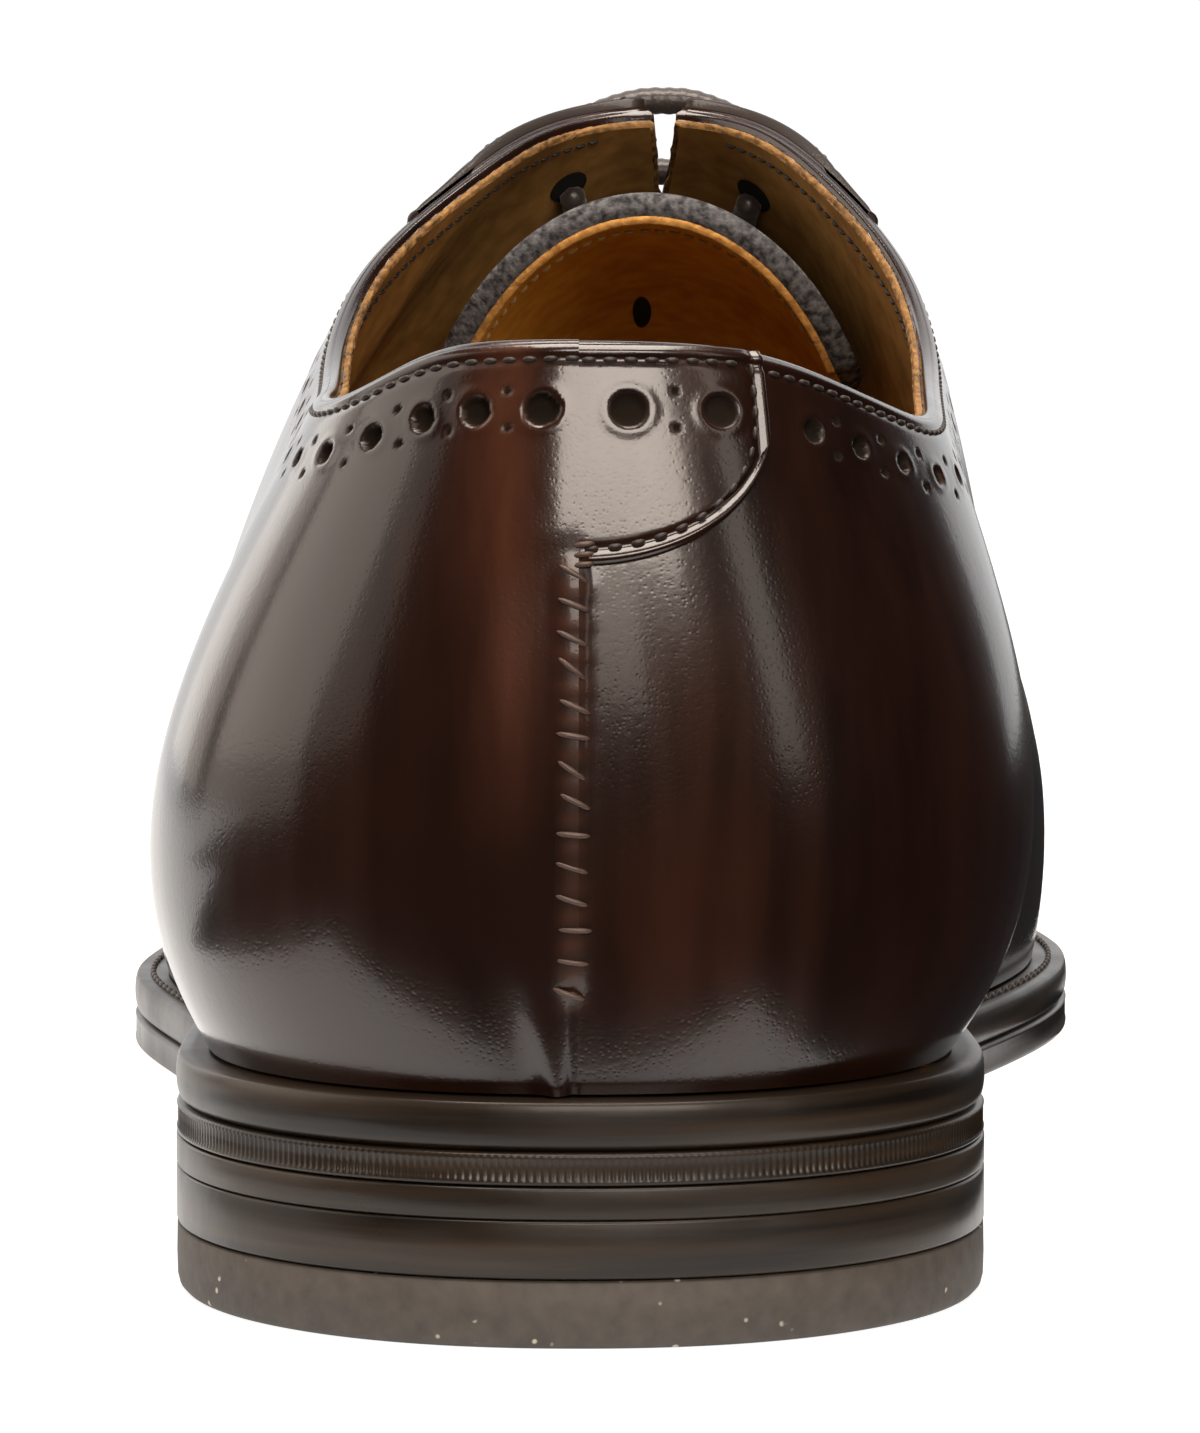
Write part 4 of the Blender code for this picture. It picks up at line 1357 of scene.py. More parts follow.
@dataclass
class Lining:
    """The inside: quarter lining, and the rim between leather and lining."""

    form: LastForm
    sections: dict[Side, SectionMap]
    toplines: dict[Side, Topline]
    leather: float = 1.45
    rim_start: float = 0.3
    rim_bulge: float = 0.55
    fuzz: float = 0.10
    wall_end: float = 286.0
    stitch_from: float = 62.0
    stitch_away: float = 2.2
    stitch_pitch: float = 1.7
    thread: Thread = Thread(1.2, 0.2)

    def edge(self, side: Side) -> tuple[Array, Array, Array]:
        """Follows the edge along collar and facing.

        Args:
            side: side of the shoe.

        Returns:
            Points, outward normals and directions out of the edge.
        """
        line = self.toplines[side]
        run = np.arange(0.0, line.run[-1], 0.45)
        along = np.r_[line.station(run), np.arange(self.form.facing_top, self.form.throat_end, 1.0)]
        w = self.form.collar_share(along, side)
        point = self.form.point(along, side, w)
        lower = self.form.point(along, side, w - 0.012)
        return point, self.form.normal(along, side, np.minimum(w, 0.999)), unit(point - lower)

    def build(self, maker: Maker, finishes: Finishes) -> None:
        """Builds the rim strip of both sides, then the lining and its stitches."""
        turn = np.linspace(0.0, 1.0, 17)
        depth = -self.rim_start - (self.form.wall - self.rim_start) * turn
        split = (self.leather - self.rim_start) / (self.form.wall - self.rim_start)
        lobe = np.sin(np.pi * np.where(turn < split, turn / split, (turn - split) / (1 - split)))
        lift = self.rim_bulge * (0.35 * np.sin(np.pi * turn) + 0.65 * lobe) - 0.05
        pile, tan = Pile(), []
        rng = np.random.default_rng(7)
        for side in self.sections:
            point, normal, out = self.edge(side)
            fuzz = rng.normal(0.0, self.fuzz, (len(point), len(turn))) * (turn > split)[None, :]
            fuzz[0] = 0.0
            grid = point[:, None] + normal[:, None] * depth[None, :, None]
            grid = grid + out[:, None] * (lift[None, :] + fuzz)[..., None]
            grid[0, :, 0] = 0.0
            pile.add(grid, flip=side is Side.LATERAL)
            tan.append(np.tile(turn[:-1] >= split - 0.02, grid.shape[0] - 1))
        maker.add("collar_rim", pile, finishes.leather, "upper_leather",
                  more=((finishes.rim, np.concatenate(tan)),))
        self.build_wall(maker, finishes)
        self.stitch(maker, finishes)

    def build_wall(self, maker: Maker, finishes: Finishes) -> None:
        """Builds the lining of both sides, from the collar and the ridge down to the welt."""
        pile = Pile()
        share = np.linspace(0.0, 1.0, 46)
        toe = self.form.length - self.form.toe_inset
        for side, line in self.toplines.items():
            along = np.r_[line.station(np.arange(0.0, line.run[-1], 1.2)),
                          np.arange(self.form.facing_top, self.wall_end, 2.5),
                          toe - np.array((7.0, 5.0, 3.6))]
            w = self.form.collar_share(along, side)[:, None] * (1 - share[None, :])
            s = np.broadcast_to(along[:, None], w.shape)
            normal = self.form.normal(s, side, np.minimum(w, 0.999))
            grid = self.form.point(s, side, w) - self.form.wall * normal
            grid[0, :, 0] = 0.0
            pile.add(grid, flip=side is Side.LATERAL)
        maker.add("quarter_lining", pile, finishes.lining, "insole_leather")

    def stitch(self, maker: Maker, finishes: Finishes) -> None:
        """Sews the row that shows inside along the collar's front."""
        row = Seam()
        for side, line in self.toplines.items():
            run = np.arange(line.run_to(self.stitch_from), line.run[-1] - 3.0, self.stitch_pitch)
            point, normal = self.sections[side].at(*line.below(run, self.stitch_away))
            row.add(point, -normal, self.form.wall + 0.05)
        maker.stitches("lining_stitches", row, self.thread, finishes.thread, "insole_leather")


@dataclass
class Eyestay:
    """The facing laid over the quarters: a U round the throat with a pinked, punched edge."""

    form: LastForm
    sections: dict[Side, SectionMap]
    start: float = 88.0
    tip: float = 188.0
    low: float = 0.05
    high: float = 1.30
    thin: float = 0.60
    thin_reach: float = 14.0
    pink: float = 0.35
    pink_pitch: float = 2.1
    eyelets: tuple[float, ...] = (114.0, 126.0, 138.0, 150.0, 162.0)
    eyelet_away: float = 9.8
    eyelet_radius: float = 1.6
    eyelet_depth: float = 1.9
    throat_half: float = 0.25
    hole_ends: tuple[float, float] = (9.0, 3.5)
    punched_width: float = 8.0
    edge_rows: tuple[float, float] = (1.6, 6.2)
    throat_row: float = 1.8
    stitch_pitch: float = 1.65
    stitch_sunk: float = 0.1
    thread: Thread = Thread(1.3, 0.25)
    brogue: Brogue = field(default_factory=lambda: Brogue(
        pitch=7.0, away=3.9, big=1.25, small=0.45, spread=1.2, depth=0.7))

    def __post_init__(self) -> None:
        """Lays out the U: inner and outer edge as (along, distance from the ridge) pairs."""
        f = self.form
        along = np.r_[self.start, self.start, self.start + 0.25,
                      np.linspace(self.start + 0.6, f.throat_end - 0.4, 327)]
        self.open_rows = len(along)
        inner = np.stack([along, np.full_like(along, self.throat_half)], axis=-1)
        outer = np.stack([along, EYESTAY.read("width", along)], axis=-1)
        turn = np.linspace(0.0, np.pi / 2, 90)[1:]
        width = EYESTAY.read("width", f.throat_end)
        station = f.throat_end + (self.tip - f.throat_end) * np.sin(turn)
        cap = np.stack([station, width * np.cos(turn)], axis=-1)
        end = np.tile((f.throat_end, 0.0), (len(turn), 1))
        self.half_inner, self.half_outer = np.r_[inner, end], np.r_[outer, cap]

    def height(self, along: Array) -> Array:
        """Height of the facing's top over the quarter, skived thin towards the collar."""
        return self.thin + (self.high - self.thin) * ease((along - self.start) / self.thin_reach)

    def edges(self, side: Side) -> tuple[Array, Array]:
        """Plain edges of one half of the U.

        Args:
            side: side of the shoe.

        Returns:
            Inner edge, on that side's collar, and outer edge.
        """
        inner = self.half_inner.copy()
        beside = inner[:self.open_rows]
        beside[:, 1] = np.maximum(self.sections[side].top(beside[:, 0]), self.throat_half)
        return inner, self.half_outer

    def strip(self, side: Side) -> tuple[Array, Array]:
        """Edges of one half of the U, the outer one pinked.

        Args:
            side: side of the shoe.

        Returns:
            Inner and outer edge.
        """
        inner, outer = self.edges(side)
        run = run_length(outer)
        tooth = np.abs(((run / self.pink_pitch) % 1.0) * 2 - 1)
        outward = unit(outer - inner)
        fade = ease(run / 6.0)[:, None]
        return inner, outer + outward * (self.pink * (tooth - 0.5))[:, None] * fade

    def build(self, maker: Maker, finishes: Finishes) -> None:
        """Builds both halves of the U as one welded piece with turned edges."""
        share = np.r_[0.0, 0.0, 0.012, np.linspace(0.03, 0.97, 52), 0.988, 1.0, 1.0]
        pile, cuts = Pile(), []
        length = run_length(self.half_outer)[:, None]
        holes = self.brogue.holes(self.hole_ends[0], length.max() - self.hole_ends[1])
        for side, section in self.sections.items():
            inner, outer = self.strip(side)
            along = inner[:, None, 0] + (outer - inner)[:, None, 0] * share[None, :]
            rho = inner[:, None, 1] + (outer - inner)[:, None, 1] * share[None, :]
            point, normal = section.at(along, rho)
            width = np.linalg.norm(outer - inner, axis=1)[:, None]
            out = (1 - share[None, :]) * width
            inn = share[None, :] * width
            high = self.height(along)
            lift = high.copy()
            lift -= 0.20 * bell(out, 0.0, 0.4)
            for away in self.edge_rows:
                lift -= 0.10 * bell(out, away, 0.35)
            beside = 0.2 * bell(inn, 0.0, 0.5) + 0.1 * bell(inn, self.throat_row, 0.35)
            lift -= np.where(along < self.form.throat_end, beside, 0.0)
            punched, cut = self.brogue.punch(np.broadcast_to(length, out.shape), out, holes)
            wide = width > self.punched_width
            lift += np.where(wide, punched, 0.0)
            cut = np.where(wide, cut, 0.0)
            for station in self.eyelets:
                gap = np.hypot(along - station, rho - self.eyelet_away)
                hole = 1 - ease((gap - self.eyelet_radius + 0.3) / 0.6)
                lift -= self.eyelet_depth * hole
                # painted shade in each eyelet hole
                cut = np.maximum(cut, hole)
            # painted shade: the facing is darker and duller beside the throat near its top, by the first lace
            # bar, which also takes away a bright reflection there
            facing_shade = 0.45 * (1 - ease((along - self.form.facing_top - 2.0) / 3.0)) * (inn < 8.0)
            cut = np.maximum(cut, facing_shade)
            open_edge = inner[:, 0] < self.form.throat_end - 0.2
            lift[:, 0] = np.where(open_edge, self.low, lift[:, 2])
            lift[:, 1] = np.where(open_edge, high[:, 1] - 0.45, lift[:, 1])
            lift[:, -2] = np.minimum(lift[:, -2], high[:, -2] - 0.4)
            lift[:, -1] = self.low - 0.2
            lift[0] = self.low - 0.2
            lift[1] = np.minimum(lift[1], high[1] - 0.35)
            grid = point + normal * lift[..., None]
            ridge = (rho < 1e-6) & (along >= self.form.throat_end - 1e-6)
            grid[..., 0] = np.where(ridge, LAST.read("centre", along), grid[..., 0])
            tip = lift[-1]
            flat, up = section.at(along[-1], np.zeros(along.shape[1]))
            centre = LAST.read("centre", along[-1])
            grid[-1] = np.stack([centre, flat[:, 1] + up[:, 1] * tip, flat[:, 2] + up[:, 2] * tip], axis=-1)
            pile.add(grid, flip=side is Side.MEDIAL)
            cuts.append(cut.ravel())
        maker.add("eyestay_leather", pile, finishes.leather, "upper_leather", ("eyestay",),
                  {"cut": np.concatenate(cuts)})
        self.stitch(maker, finishes)

    def stitch(self, maker: Maker, finishes: Finishes) -> None:
        """Sews both rows along the pinked edge and the row beside the throat."""
        seam = Seam()
        for side, section in self.sections.items():
            inner, outer = self.edges(side)
            back, width = unit(inner - outer), np.linalg.norm(outer - inner, axis=1)
            beside = (inner - back * self.throat_row)[:self.open_rows]
            first, second = (outer + back * away for away in self.edge_rows)
            for row, least in ((first, 4.0), (second, 9.0), (beside, 9.0)):
                row = row[width[:len(row)] > least]
                point, normal = section.at(row[:, 0], np.maximum(row[:, 1], 0.02))
                pick, lean, along = spaced(point, 0.5, self.stitch_pitch, normal, row[:, 0])
                seam.add(pick, unit(lean), self.height(along) - self.stitch_sunk)
        maker.stitches("eyestay_stitches", seam, self.thread, finishes.thread, "upper_leather")


@dataclass
class Tongue:
    """The tongue: a curved sheet with a mottled edge and a bright lining."""

    start: float = 86.0
    fine_end: float = 92.0
    end: float = 178.0
    thick: float = 3.0
    lining: float = 0.75
    bow: float = 0.72
    slit_along: float = 118.0
    slit_across: float = -0.13
    slit_long: float = 4.5
    slit_wide: float = 1.1
    stitch_along: float = 88.6
    stitch_pitch: float = 1.7
    thread: Thread = Thread(1.15, 0.2)

    def sheet(self, along: Array, across: Array) -> Array:
        """Top face: a circular arch across, whose top corners fall back and round off.

        Args:
            along: stations.
            across: places from -1 at the lateral edge to 1 at the medial one.

        Returns:
            Points of the face.
        """
        half, fall = TONGUE.read("half", along), TONGUE.read("fall", along)
        drop = fall * (1 - np.sqrt(1 - self.bow * across**2)) / (1 - math.sqrt(1 - self.bow))
        start = along + 9.0 * across**4 * np.clip((100.0 - along) / 14.0, 0.0, 1.0)
        x = TONGUE.read("centre", along) + half * across
        return np.stack([x, start, TONGUE.read("height", along) - drop], axis=-1)

    def build(self, maker: Maker, finishes: Finishes) -> None:
        """Builds leather, edge and lining as one closed sheet, and the lining's stitches."""
        along = np.r_[np.linspace(self.start, self.fine_end, 20),
                      np.linspace(self.fine_end + 1.0, self.end, 60)]
        across = np.linspace(-1.0, 1.0, 121)
        s, t = np.meshgrid(along, across, indexing="ij")
        top = self.sheet(s, t)
        way_a, way_b = np.gradient(top, axis=0), np.gradient(top, axis=1)
        normal = unit(np.cross(way_b, way_a))
        normal *= np.sign(normal[..., 2:3])
        rng = np.random.default_rng(3)
        lining = self.lining / self.thick
        levels = np.array((0.0, 0.12, 0.4, 0.75, 1.0 - lining, 1.0 - 0.9 * lining, 0.97, 1.0))
        bulge = np.array((0.0, 0.30, 0.42, 0.34, 0.16, 0.34, 0.22, 0.0))
        loops = []
        for level, out in zip(levels, bulge):
            layer = top - normal * (self.thick * level)
            edge = np.concatenate([layer[0], layer[1:, -1], layer[-1, -2::-1], layer[-2:0:-1, 0]])
            inner = np.concatenate([layer[1], layer[1:, -2], layer[-2, -2::-1], layer[-2:0:-1, 1]])
            rough = rng.normal(0.0, 0.05, len(edge))[:, None] * (out > 0)
            loops.append(edge + unit(edge - inner) * (out + rough))
        rim = np.stack(loops, axis=1)
        rim = np.concatenate([rim, rim[:1]])
        pile = Pile(top)
        pile.add(top - normal * self.thick, flip=True)
        pile.add(rim)
        face, under = np.zeros(len(pile.quads[0]), int), np.full(len(pile.quads[1]), 2)
        wall = np.tile(np.where(np.arange(len(levels) - 1) < 4, 1, 3), rim.shape[0] - 1)
        kind = np.concatenate([face, under, wall])
        maker.add("tongue_sheet", pile, finishes.leather, "tongue_leather", ("tongue",),
                  {"cut": np.zeros(pile.count)}, True,
                  ((finishes.tongue_edge, kind == 1), (finishes.tongue_lining, kind == 2),
                   (finishes.tongue_rim, kind == 3)))
        row = np.linspace(-0.93, 0.93, 400)
        line = self.sheet(np.full_like(row, self.stitch_along), row)
        lean = np.stack([np.interp(row, across, normal[4, :, k]) for k in range(3)], axis=-1)
        pick, lean = spaced(line, 0.5, self.stitch_pitch, lean)
        seam = Seam()
        seam.add(pick, -unit(lean), self.thick + 0.02)
        maker.stitches("tongue_stitches", seam, self.thread, finishes.tan_thread, "tongue_leather")
        self.build_slit(maker, finishes)

    def build_slit(self, maker: Maker, finishes: Finishes) -> None:
        """Builds the slit that shows in the tongue's lining as painted shade: a thin dark oval just under the
        lining.
        """
        forward, sideways = disc(25)
        along = self.slit_along + self.slit_long * forward
        across = self.slit_across + self.slit_wide * sideways / TONGUE.read("half", self.slit_along)
        top = self.sheet(along, across)
        ahead = self.sheet(along + 0.5, across) - top
        beside = self.sheet(along, across + 0.03) - top
        under = top - unit(np.cross(beside, ahead)) * (self.thick + 0.12)
        maker.add("tongue_slit_shade", Pile(under), finishes.hole_shade, "tongue_leather")


@dataclass
class Lace:
    """The waxed braided lace: bars over the facings, and runs inside between the eyelets."""

    form: LastForm
    sections: dict[Side, SectionMap]
    eyestay: Eyestay
    radius: float = 1.25
    lift: float = 2.85
    bow: float = 0.9
    mouth: tuple[float, float] = (2.6, 2.0)
    dip: tuple[float, float] = (-3.2, -0.3)
    step: float = 0.28
    weave: float = 0.07
    braid_pitch: float = 2.6

    def cord(self, path: Array, normals: Array, sides: int) -> Array:
        """Lays the cord on a path, its surface woven by two crossing helices.

        Args:
            path: points of the path.
            normals: directions that the cord's section is turned by.
            sides: faces round the cord.

        Returns:
            Grid of points.
        """
        ways = unit(np.gradient(path, axis=0))
        across = unit(np.cross(normals, ways))
        up = np.cross(ways, across)
        turn = np.linspace(0.0, 2 * np.pi, sides + 1)
        run = run_length(path)[:, None] * 2 * np.pi / self.braid_pitch
        braid = np.cos(3 * turn[None, :] + run) * np.cos(3 * turn[None, :] - run)
        count = np.arange(len(path))
        ends = np.minimum(1.0, np.minimum(count, count[::-1]) / 3.0)
        size = self.radius * (1 + self.weave * braid) * np.sqrt(ends)[:, None]
        ring = across[:, None] * np.cos(turn)[None, :, None] + up[:, None] * np.sin(turn)[None, :, None]
        return path[:, None] + ring * size[..., None]

    def route(self, along: float, bow: float) -> Array:
        """Path of one bar, dipping into the eyelet at each end.

        Args:
            along: station of the bar.
            bow: how much higher than its fellows the bar rises in the middle.

        Returns:
            Points of the path.
        """
        reach = self.eyestay.eyelet_away
        away = np.concatenate([np.full(8, reach), np.linspace(reach, 0.05, 34)])
        dive = np.concatenate([np.linspace(*self.dip, 8), np.zeros(34)])
        arc = ease((reach - away) / 2.6)
        lift = self.lift + dive - 0.55 * (1 - arc) * (dive == 0) + bow * (1 - away / reach)
        halves = []
        for section in self.sections.values():
            point, normal = section.at(np.full_like(away, along), away)
            halves.append(point + normal * lift[:, None])
        path = spaced(np.concatenate([halves[0], halves[1][::-1]]), 0.0, self.step)[0]
        padded = np.concatenate([path[:1].repeat(3, 0), path, path[-1:].repeat(3, 0)])
        kernel = np.ones(7) / 7
        return np.stack([np.convolve(padded[:, k], kernel, "valid") for k in range(3)], axis=-1)

    def build(self, maker: Maker, finishes: Finishes) -> None:
        """Builds each bar as its own piece and the inner runs as one piece."""
        eyelets = self.eyestay.eyelets
        for number, along in enumerate(eyelets, 1):
            path = self.route(along, self.bow if number == 1 else 0.0)
            bar = self.cord(path, np.tile((0.0, 1.0, 0.0), (len(path), 1)), 20)
            maker.add(f"lace_{number}", Pile(bar), finishes.lace, "lace_cord", (f"lace_bar_{number}",),
                      turn_out=True)
        pile = Pile()
        depth = self.form.wall + 0.2 + self.radius * np.sin(np.linspace(0.0, np.pi, 60)) ** 0.5
        for section in self.sections.values():
            for a, b in zip(eyelets[:-1], eyelets[1:]):
                point, normal = section.at(np.linspace(a, b, 60), np.full(60, self.eyestay.eyelet_away))
                pile.add(self.cord(point - normal * depth[:, None], normal, 14))
        maker.add("lace_inside", pile, finishes.lace, "lace_cord", turn_out=True)
        self.build_holes(maker, finishes)

    def build_holes(self, maker: Maker, finishes: Finishes) -> None:
        """Builds painted shade for the eyelet holes in the lining: one small dark oval at each."""
        forward, sideways = disc(21)
        along = np.array(self.eyestay.eyelets)
        away = np.full_like(along, self.eyestay.eyelet_away)
        long, wide = self.mouth
        pile = Pile()
        for section in self.sections.values():
            middles, normals = section.at(along, away)
            ways = unit(section.at(along + 1.0, away)[0] - middles)
            for middle, normal, way in zip(middles, normals, ways):
                flat = forward[..., None] * way * long + sideways[..., None] * np.cross(normal, way) * wide
                pile.add(middle - normal * (self.form.wall + 0.14) + flat)
        maker.add("eyelet_hole_shades", pile, finishes.hole_shade, "insole_leather")


@dataclass
class Sole:
    """Welt, outsole and insole sock, each lofted round or along the outline of the sole."""

    form: LastForm
    welt_strip: float = 11.0
    knurl_pitch: float = 0.62
    knurl_depth: float = 0.15
    knurl_end: float = 78.0
    stitch_from: float = 92.0
    stitch_inset: float = 2.0
    stitch_pitch: float = 2.6
    thread: Thread = Thread(2.0, 0.33)

    # Inset, share of the way from tread to top, and lift of each line of the outsole's edge.
    EDGE = ((0.4, 0.0, -0.1), (0.05, 0.0, 0.05), (0.02, 0.0, 0.3), (0.10, 0.0, 0.5), (0.10, 1.0, -0.45),
            (0.03, 1.0, -0.2), (0.3, 1.0, 0.1))
    # Inset of the lines that carry the ribs.
    RIBBED = 0.10

    @staticmethod
    def shares(count: int) -> Array:
        """Shares from 0 to 1 that crowd towards both ends."""
        return (1 - np.cos(np.linspace(0.0, np.pi, count))) / 2

    def ring(self, profile: Sequence[tuple[float, float]], count: int) -> Array:
        """Ring of sections all round the sole.

        Args:
            profile: inset and height above the outsole of each line.
            count: sections on each side.

        Returns:
            Grid of points.
        """
        share = self.shares(count)
        halves = {}
        for side in Side:
            loops = []
            for inset, rise in profile:
                along = inset + (self.form.length - 2 * inset) * share
                z = self.form.outsole_top(along) + self.form.gap + rise
                loops.append(np.stack([self.form.sole_edge(along, side, inset), along, z], axis=-1))
            halves[side] = np.stack(loops, axis=1)
        return np.concatenate([halves[Side.LATERAL], halves[Side.MEDIAL][-2::-1]])

    def build(self, maker: Maker, finishes: Finishes) -> None:
        """Builds the three layers and the stitches on the welt."""
        h = self.form.welt
        turn = np.linspace(-0.5 * np.pi, 0.5 * np.pi, 11)
        bead = [(0.42 - 0.42 * math.cos(a), 0.2 + (h - 0.2) * (0.5 + 0.5 * math.sin(a))) for a in turn]
        top = h + 0.02
        profile = [(self.welt_strip, 0.0), (0.9, -0.2), *bead, (1.5, top), (4.5, top), (self.welt_strip, h)]
        ring = self.ring([*profile, profile[0]], 420)
        maker.add("welt_strip", Pile(ring), finishes.sole_edge, "sole_leather", ("welt",), turn_out=True)
        self.build_outsole(maker, finishes)
        self.build_sock(maker, finishes)
        along = np.linspace(self.stitch_from, self.form.length - self.stitch_inset - 0.2, 1600)
        z = self.form.outsole_top(along) + self.form.gap + top
        seam = Seam()
        for side in Side:
            line = np.stack([self.form.sole_edge(along, side, self.stitch_inset), along, z], axis=-1)
            pick = spaced(line, 0.5, self.stitch_pitch)[0]
            seam.add(pick, np.tile((0.0, 0.0, 1.0), (len(pick), 1)), 0.0)
        maker.stitches("welt_stitches", seam, self.thread, finishes.thread, "sole_leather")

    def build_outsole(self, maker: Maker, finishes: Finishes) -> None:
        """Builds the outsole, its edge wheeled in fine upright ribs round the heel."""
        heel = self.knurl_end * (1 - np.cos(np.linspace(0.0, np.pi / 2, 1100)))
        turn = np.linspace(0.0, np.pi / 2, 260)[1:]
        front = self.knurl_end + (self.form.length - self.knurl_end) * np.sin(turn)
        base = np.r_[heel, front] / self.form.length
        station = base * self.form.length
        rows = []
        for side in Side:
            run = run_length(np.stack([self.form.sole_edge(station, side, 0.0), station], axis=-1))
            fade = 1 - ease((station - self.knurl_end + 8.0) / 8.0)
            ridge_dulling = 0.7 + 0.3 * np.sin(0.37 * run) * np.sin(0.11 * run)
            rib = self.knurl_depth * ridge_dulling * (0.5 + 0.5 * np.cos(2 * np.pi * run / self.knurl_pitch)) * fade
            loops = []
            for level, share, lift in self.EDGE:
                inset = level + rib * (level == self.RIBBED)
                along = inset + (self.form.length - 2 * inset) * base
                z = self.form.tread(along) * (1 - share) + self.form.outsole_top(along) * share + lift
                loops.append(np.stack([self.form.sole_edge(along, side, inset), along, z], axis=-1))
            rows += loops if side is Side.LATERAL else loops[::-1]
        grid = np.stack(rows + rows[:1], axis=1)
        under = np.tile(np.arange(grid.shape[1] - 1) == 2 * len(self.EDGE) - 1, grid.shape[0] - 1)
        maker.add("outsole_layer", Pile(grid), finishes.sole_edge, "sole_leather", ("outsole",),
                  turn_out=True, more=((finishes.sole_bottom, under),))

    def build_sock(self, maker: Maker, finishes: Finishes) -> None:
        """Builds the insole's sock inside the foot of the upper, as a flat stepped solid."""
        share = self.shares(160)
        f = self.form
        side_gap = f.wall + 0.25
        start, end = f.heel_start + side_gap, f.length - f.toe_inset - side_gap
        along = start + (end - start) * share
        z = f.feather(along)
        rows = []
        left, right = f.foot_edge(along, Side.LATERAL, side_gap), f.foot_edge(along, Side.MEDIAL, side_gap)
        for t in np.linspace(0.0, 1.0, 21):
            x = left + (right - left) * t
            rows.append(np.stack([x, along, z + f.insole - 0.6 * np.sin(np.pi * t)], axis=-1))
        for x in (right, left):
            rows.append(np.stack([x, along, z], axis=-1))
        grid = np.stack(rows + rows[:1], axis=1)
        maker.add("sock", Pile(grid), finishes.sock, "insole_leather", ("insole",), turn_out=True)


@dataclass
class Heel:
    """The stacked heel: two leather lifts and a rubber top piece."""

    form: LastForm
    top_piece: float = 5.6
    lower_lift: float = 4.5
    upper_lift: float = 2.4

    def layer(self, maker: Maker, name: str, node: str, slot: str, material: bpy.types.Material,
              base: float, profile: Sequence[tuple[float, float]]) -> None:
        """Lofts one layer from the back to the breast.

        Args:
            maker: makes the piece.
            name: object name.
            node: solid that the piece stands for.
            slot: not used.
            material: its material.
            base: height of the layer's underside.
            profile: inset and height above the base of each line.
        """
        f = self.form
        turn = 1 - np.cos(np.linspace(0.0, np.pi / 2, 130))
        rows = []
        for side, order in ((Side.LATERAL, profile), (Side.MEDIAL, profile[::-1])):
            for inset, rise in order:
                along = inset + (f.heel_breast - inset) * turn
                z = np.full_like(along, base + rise)
                rows.append(np.stack([f.sole_edge(along, side, inset), along, z], axis=-1))
        grid = np.stack(rows + rows[:1], axis=1)
        cap = grid[-1:].mean(axis=1, keepdims=True).repeat(grid.shape[1], axis=1)
        grid = np.concatenate([grid, cap])
        maker.add(name, Pile(grid), material, slot, (node,), turn_out=True)

    def build(self, maker: Maker, finishes: Finishes) -> None:
        """Builds the three layers from the floor up."""
        g = self.form.gap
        rubber = ((1.0, 0.0), (0.55, 0.12), (0.2, 0.5), (0.05, 1.1), (0.0, 3.0), (0.05, self.top_piece - 0.2),
                  (0.3, self.top_piece))
        self.layer(maker, "heel_rubber", "heel_top_piece", "heel_rubber", finishes.rubber, 0.0, rubber)
        self.layer(maker, "heel_lift_thick", "heel_lift_lower", "sole_leather", finishes.sole_edge,
                   self.top_piece + g, self.lift(self.lower_lift))
        self.layer(maker, "heel_lift_thin", "heel_lift_upper", "sole_leather", finishes.sole_edge,
                   self.top_piece + self.lower_lift + 2 * g, self.lift(self.upper_lift))

    @staticmethod
    def lift(height: float) -> tuple[tuple[float, float], ...]:
        """Profile of a leather lift with eased edges that close on its neighbours."""
        return ((0.3, -0.15), (0.08, -0.05), (0.0, 0.15), (0.0, height - 0.15), (0.08, height + 0.05),
                (0.3, height + 0.12))


@dataclass(frozen=True)
class Softbox:
    """One rectangular light, placed by its direction from the heel as the camera sees it."""

    name: str
    azimuth: float
    elevation: float
    distance: float
    width: float
    height: float
    radiance: float
    tint: Colour = (1.0, 0.89, 0.79)

    def build(self, aim: Vector) -> None:
        """Adds the light, its azimuth counted from behind to the right.

        Args:
            aim: point that the light faces.
        """
        turn, rise = math.radians(self.azimuth), math.radians(self.elevation)
        way = Vector((math.sin(turn) * math.cos(rise), -math.cos(turn) * math.cos(rise), math.sin(rise)))
        data = bpy.data.lights.new(self.name, "AREA")
        data.shape = "RECTANGLE"
        data.size, data.size_y = self.width, self.height
        data.energy = self.radiance * math.pi * self.width * self.height
        data.color = self.tint
        obj = bpy.data.objects.new(self.name, data)
        obj.location = aim + way * self.distance
        obj.rotation_euler = (-way).to_track_quat("-Z", "Y").to_euler()
        bpy.context.scene.collection.objects.link(obj)


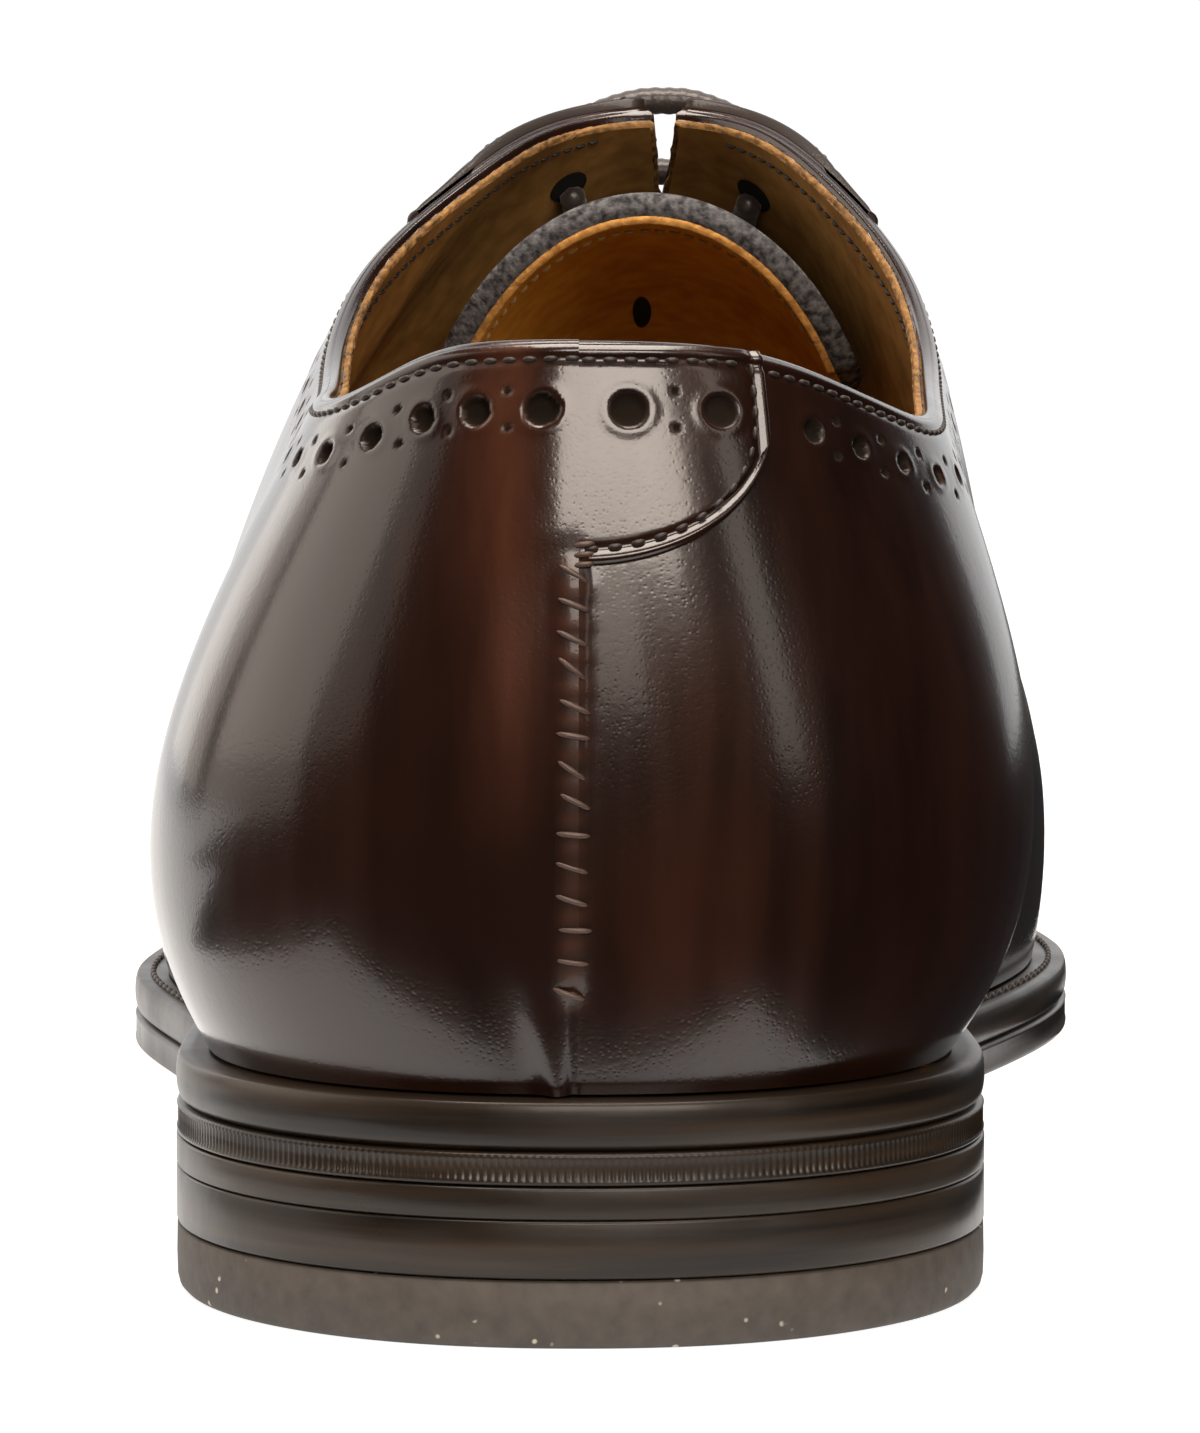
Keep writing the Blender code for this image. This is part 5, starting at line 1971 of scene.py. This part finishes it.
@dataclass
class Studio:
    """Pale floor and backdrop, softboxes and the photo's camera."""

    form: LastForm
    camera_back: float = 500.0
    camera_x: float = 1.7
    camera_height: float = 94.4
    pitch: float = 4.93
    lens: float = 158.0
    world: float = 0.025
    floor_back: float = -0.187
    floor_left: float = -0.115
    floor_right: float = 0.05
    floor_far: float = 3.0
    floor_ahead: float = 0.07
    floor_beside: float = -0.05
    floor_wide: float = -0.30
    floor_gap: float = 0.062
    floor_grey: float = 0.34
    floor_glow: float = 0.86
    backdrop_far: float = 2.9
    backdrop_high: float = 4.35
    backdrop_glow: float = 1.05
    aim: tuple[float, float, float] = (0.0, -0.12, 0.05)
    lights: tuple[Softbox, ...] = (
        Softbox("left_near", -66.0, 26.0, 1.0, 0.30, 0.80, 0.6),
        Softbox("left_side", -97.0, 26.0, 1.0, 0.80, 0.80, 1.75),
        Softbox("left_back", -138.0, 22.0, 1.0, 0.50, 0.80, 1.1),
        Softbox("left_low", -97.0, 0.8, 1.0, 0.80, 0.11, 0.8),
        Softbox("right_strip", 51.0, 24.0, 1.0, 0.15, 0.85, 1.8),
        Softbox("front_top", 10.0, 27.0, 1.2, 0.80, 0.46, 9.5),
        Softbox("front_low", 9.0, 9.0, 1.0, 0.18, 0.18, 2.2),
        Softbox("overhead", 0.0, 88.0, 1.2, 0.90, 0.90, 10.5),
    )

    def plane(self, name: str, corners: Sequence[Sequence[float]],
              material: bpy.types.Material) -> bpy.types.Object:
        """Adds one flat stage piece of rectangles.

        Args:
            name: object name.
            corners: four corners of each rectangle.
            material: its material.

        Returns:
            The object.
        """
        mesh = bpy.data.meshes.new(name)
        faces = np.arange(len(corners)).reshape(-1, 4).tolist()
        mesh.from_pydata([tuple(c) for c in corners], [], faces)
        mesh.materials.append(material)
        obj = bpy.data.objects.new(name, mesh)
        bpy.context.scene.collection.objects.link(obj)
        return obj

    @staticmethod
    def rectangle(left: float, right: float, back: float, front: float) -> list[tuple[float, float, float]]:
        """Corners of a rectangle on the floor."""
        return [(left, back, 0.0), (right, back, 0.0), (right, front, 0.0), (left, front, 0.0)]

    def build(self) -> None:
        """Sets the stage, the light and the camera."""
        scene = bpy.context.scene
        scene.view_settings.view_transform = "Standard"
        world = bpy.data.worlds.new("studio")
        scene.world = world
        world.use_nodes = True
        sky = world.node_tree.nodes["Background"].inputs
        sky["Color"].default_value = (1.0, 1.0, 1.0, 1.0)
        sky["Strength"].default_value = self.world
        grey, white = (self.floor_grey,) * 3, (1.0, 1.0, 1.0)
        floor = Shader("floor").finish(Base_Color=grey, Roughness=0.9, Specular_IOR_Level=0.0,
                                       Emission_Color=white, Emission_Strength=self.floor_glow)
        left, right, back, far = self.floor_left, self.floor_right, self.floor_back, self.floor_far
        ahead, beside, wide, gap = self.floor_ahead, self.floor_beside, self.floor_wide, self.floor_gap
        shown = (self.rectangle(left, right, back, far) + self.rectangle(-far, left, ahead, far)
                 + self.rectangle(wide, left, beside, ahead) + self.rectangle(right, gap, ahead, far))
        self.plane("floor", shown, floor)
        rest = (self.rectangle(-far, wide, back, ahead) + self.rectangle(wide, left, back, beside)
                + self.rectangle(right, far, back, ahead) + self.rectangle(gap, far, ahead, far)
                + self.rectangle(-far, far, -far, back))
        unreflected = self.plane("floor_rest", rest, floor)
        unreflected.visible_glossy = False
        unreflected.visible_diffuse = False
        backdrop = Shader("backdrop").finish(Base_Color=(0.0, 0.0, 0.0), Specular_IOR_Level=0.0,
                                             Emission_Color=white, Emission_Strength=self.backdrop_glow)
        end, high = self.backdrop_far, self.backdrop_high
        self.plane("backdrop", ((-end, end, 0), (end, end, 0), (end, end, high), (-end, end, high)), backdrop)
        for light in self.lights:
            light.build(Vector(self.aim))
        data = bpy.data.cameras.new("photo_camera")
        data.sensor_width = 36.0
        data.lens = self.lens
        data.clip_start = 0.01
        camera = bpy.data.objects.new("photo_camera", data)
        camera.location = self.form.place(np.array((self.camera_x, -self.camera_back, self.camera_height)))
        camera.rotation_euler = (math.radians(90.0 - self.pitch), 0.0, 0.0)
        scene.collection.objects.link(camera)
        scene.camera = camera


def main() -> None:
    """Builds every piece in order."""
    logging.basicConfig(level=logging.INFO, format="%(name)s %(message)s")
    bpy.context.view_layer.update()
    form = LastForm()
    sections = {side: SectionMap(form, side) for side in Side}
    toplines = {side: Topline(section) for side, section in sections.items()}
    finishes = Finishes()
    maker = Maker(form)
    upper = Upper(form, sections, toplines)
    upper.build(maker, finishes)
    HeelTab(form, sections, toplines, upper).build(maker, finishes)
    Lining(form, sections, toplines).build(maker, finishes)
    eyestay = Eyestay(form, sections)
    eyestay.build(maker, finishes)
    Tongue().build(maker, finishes)
    Lace(form, sections, eyestay).build(maker, finishes)
    Sole(form).build(maker, finishes)
    Heel(form).build(maker, finishes)
    Studio(form).build()


if __name__ == "__main__":
    main()
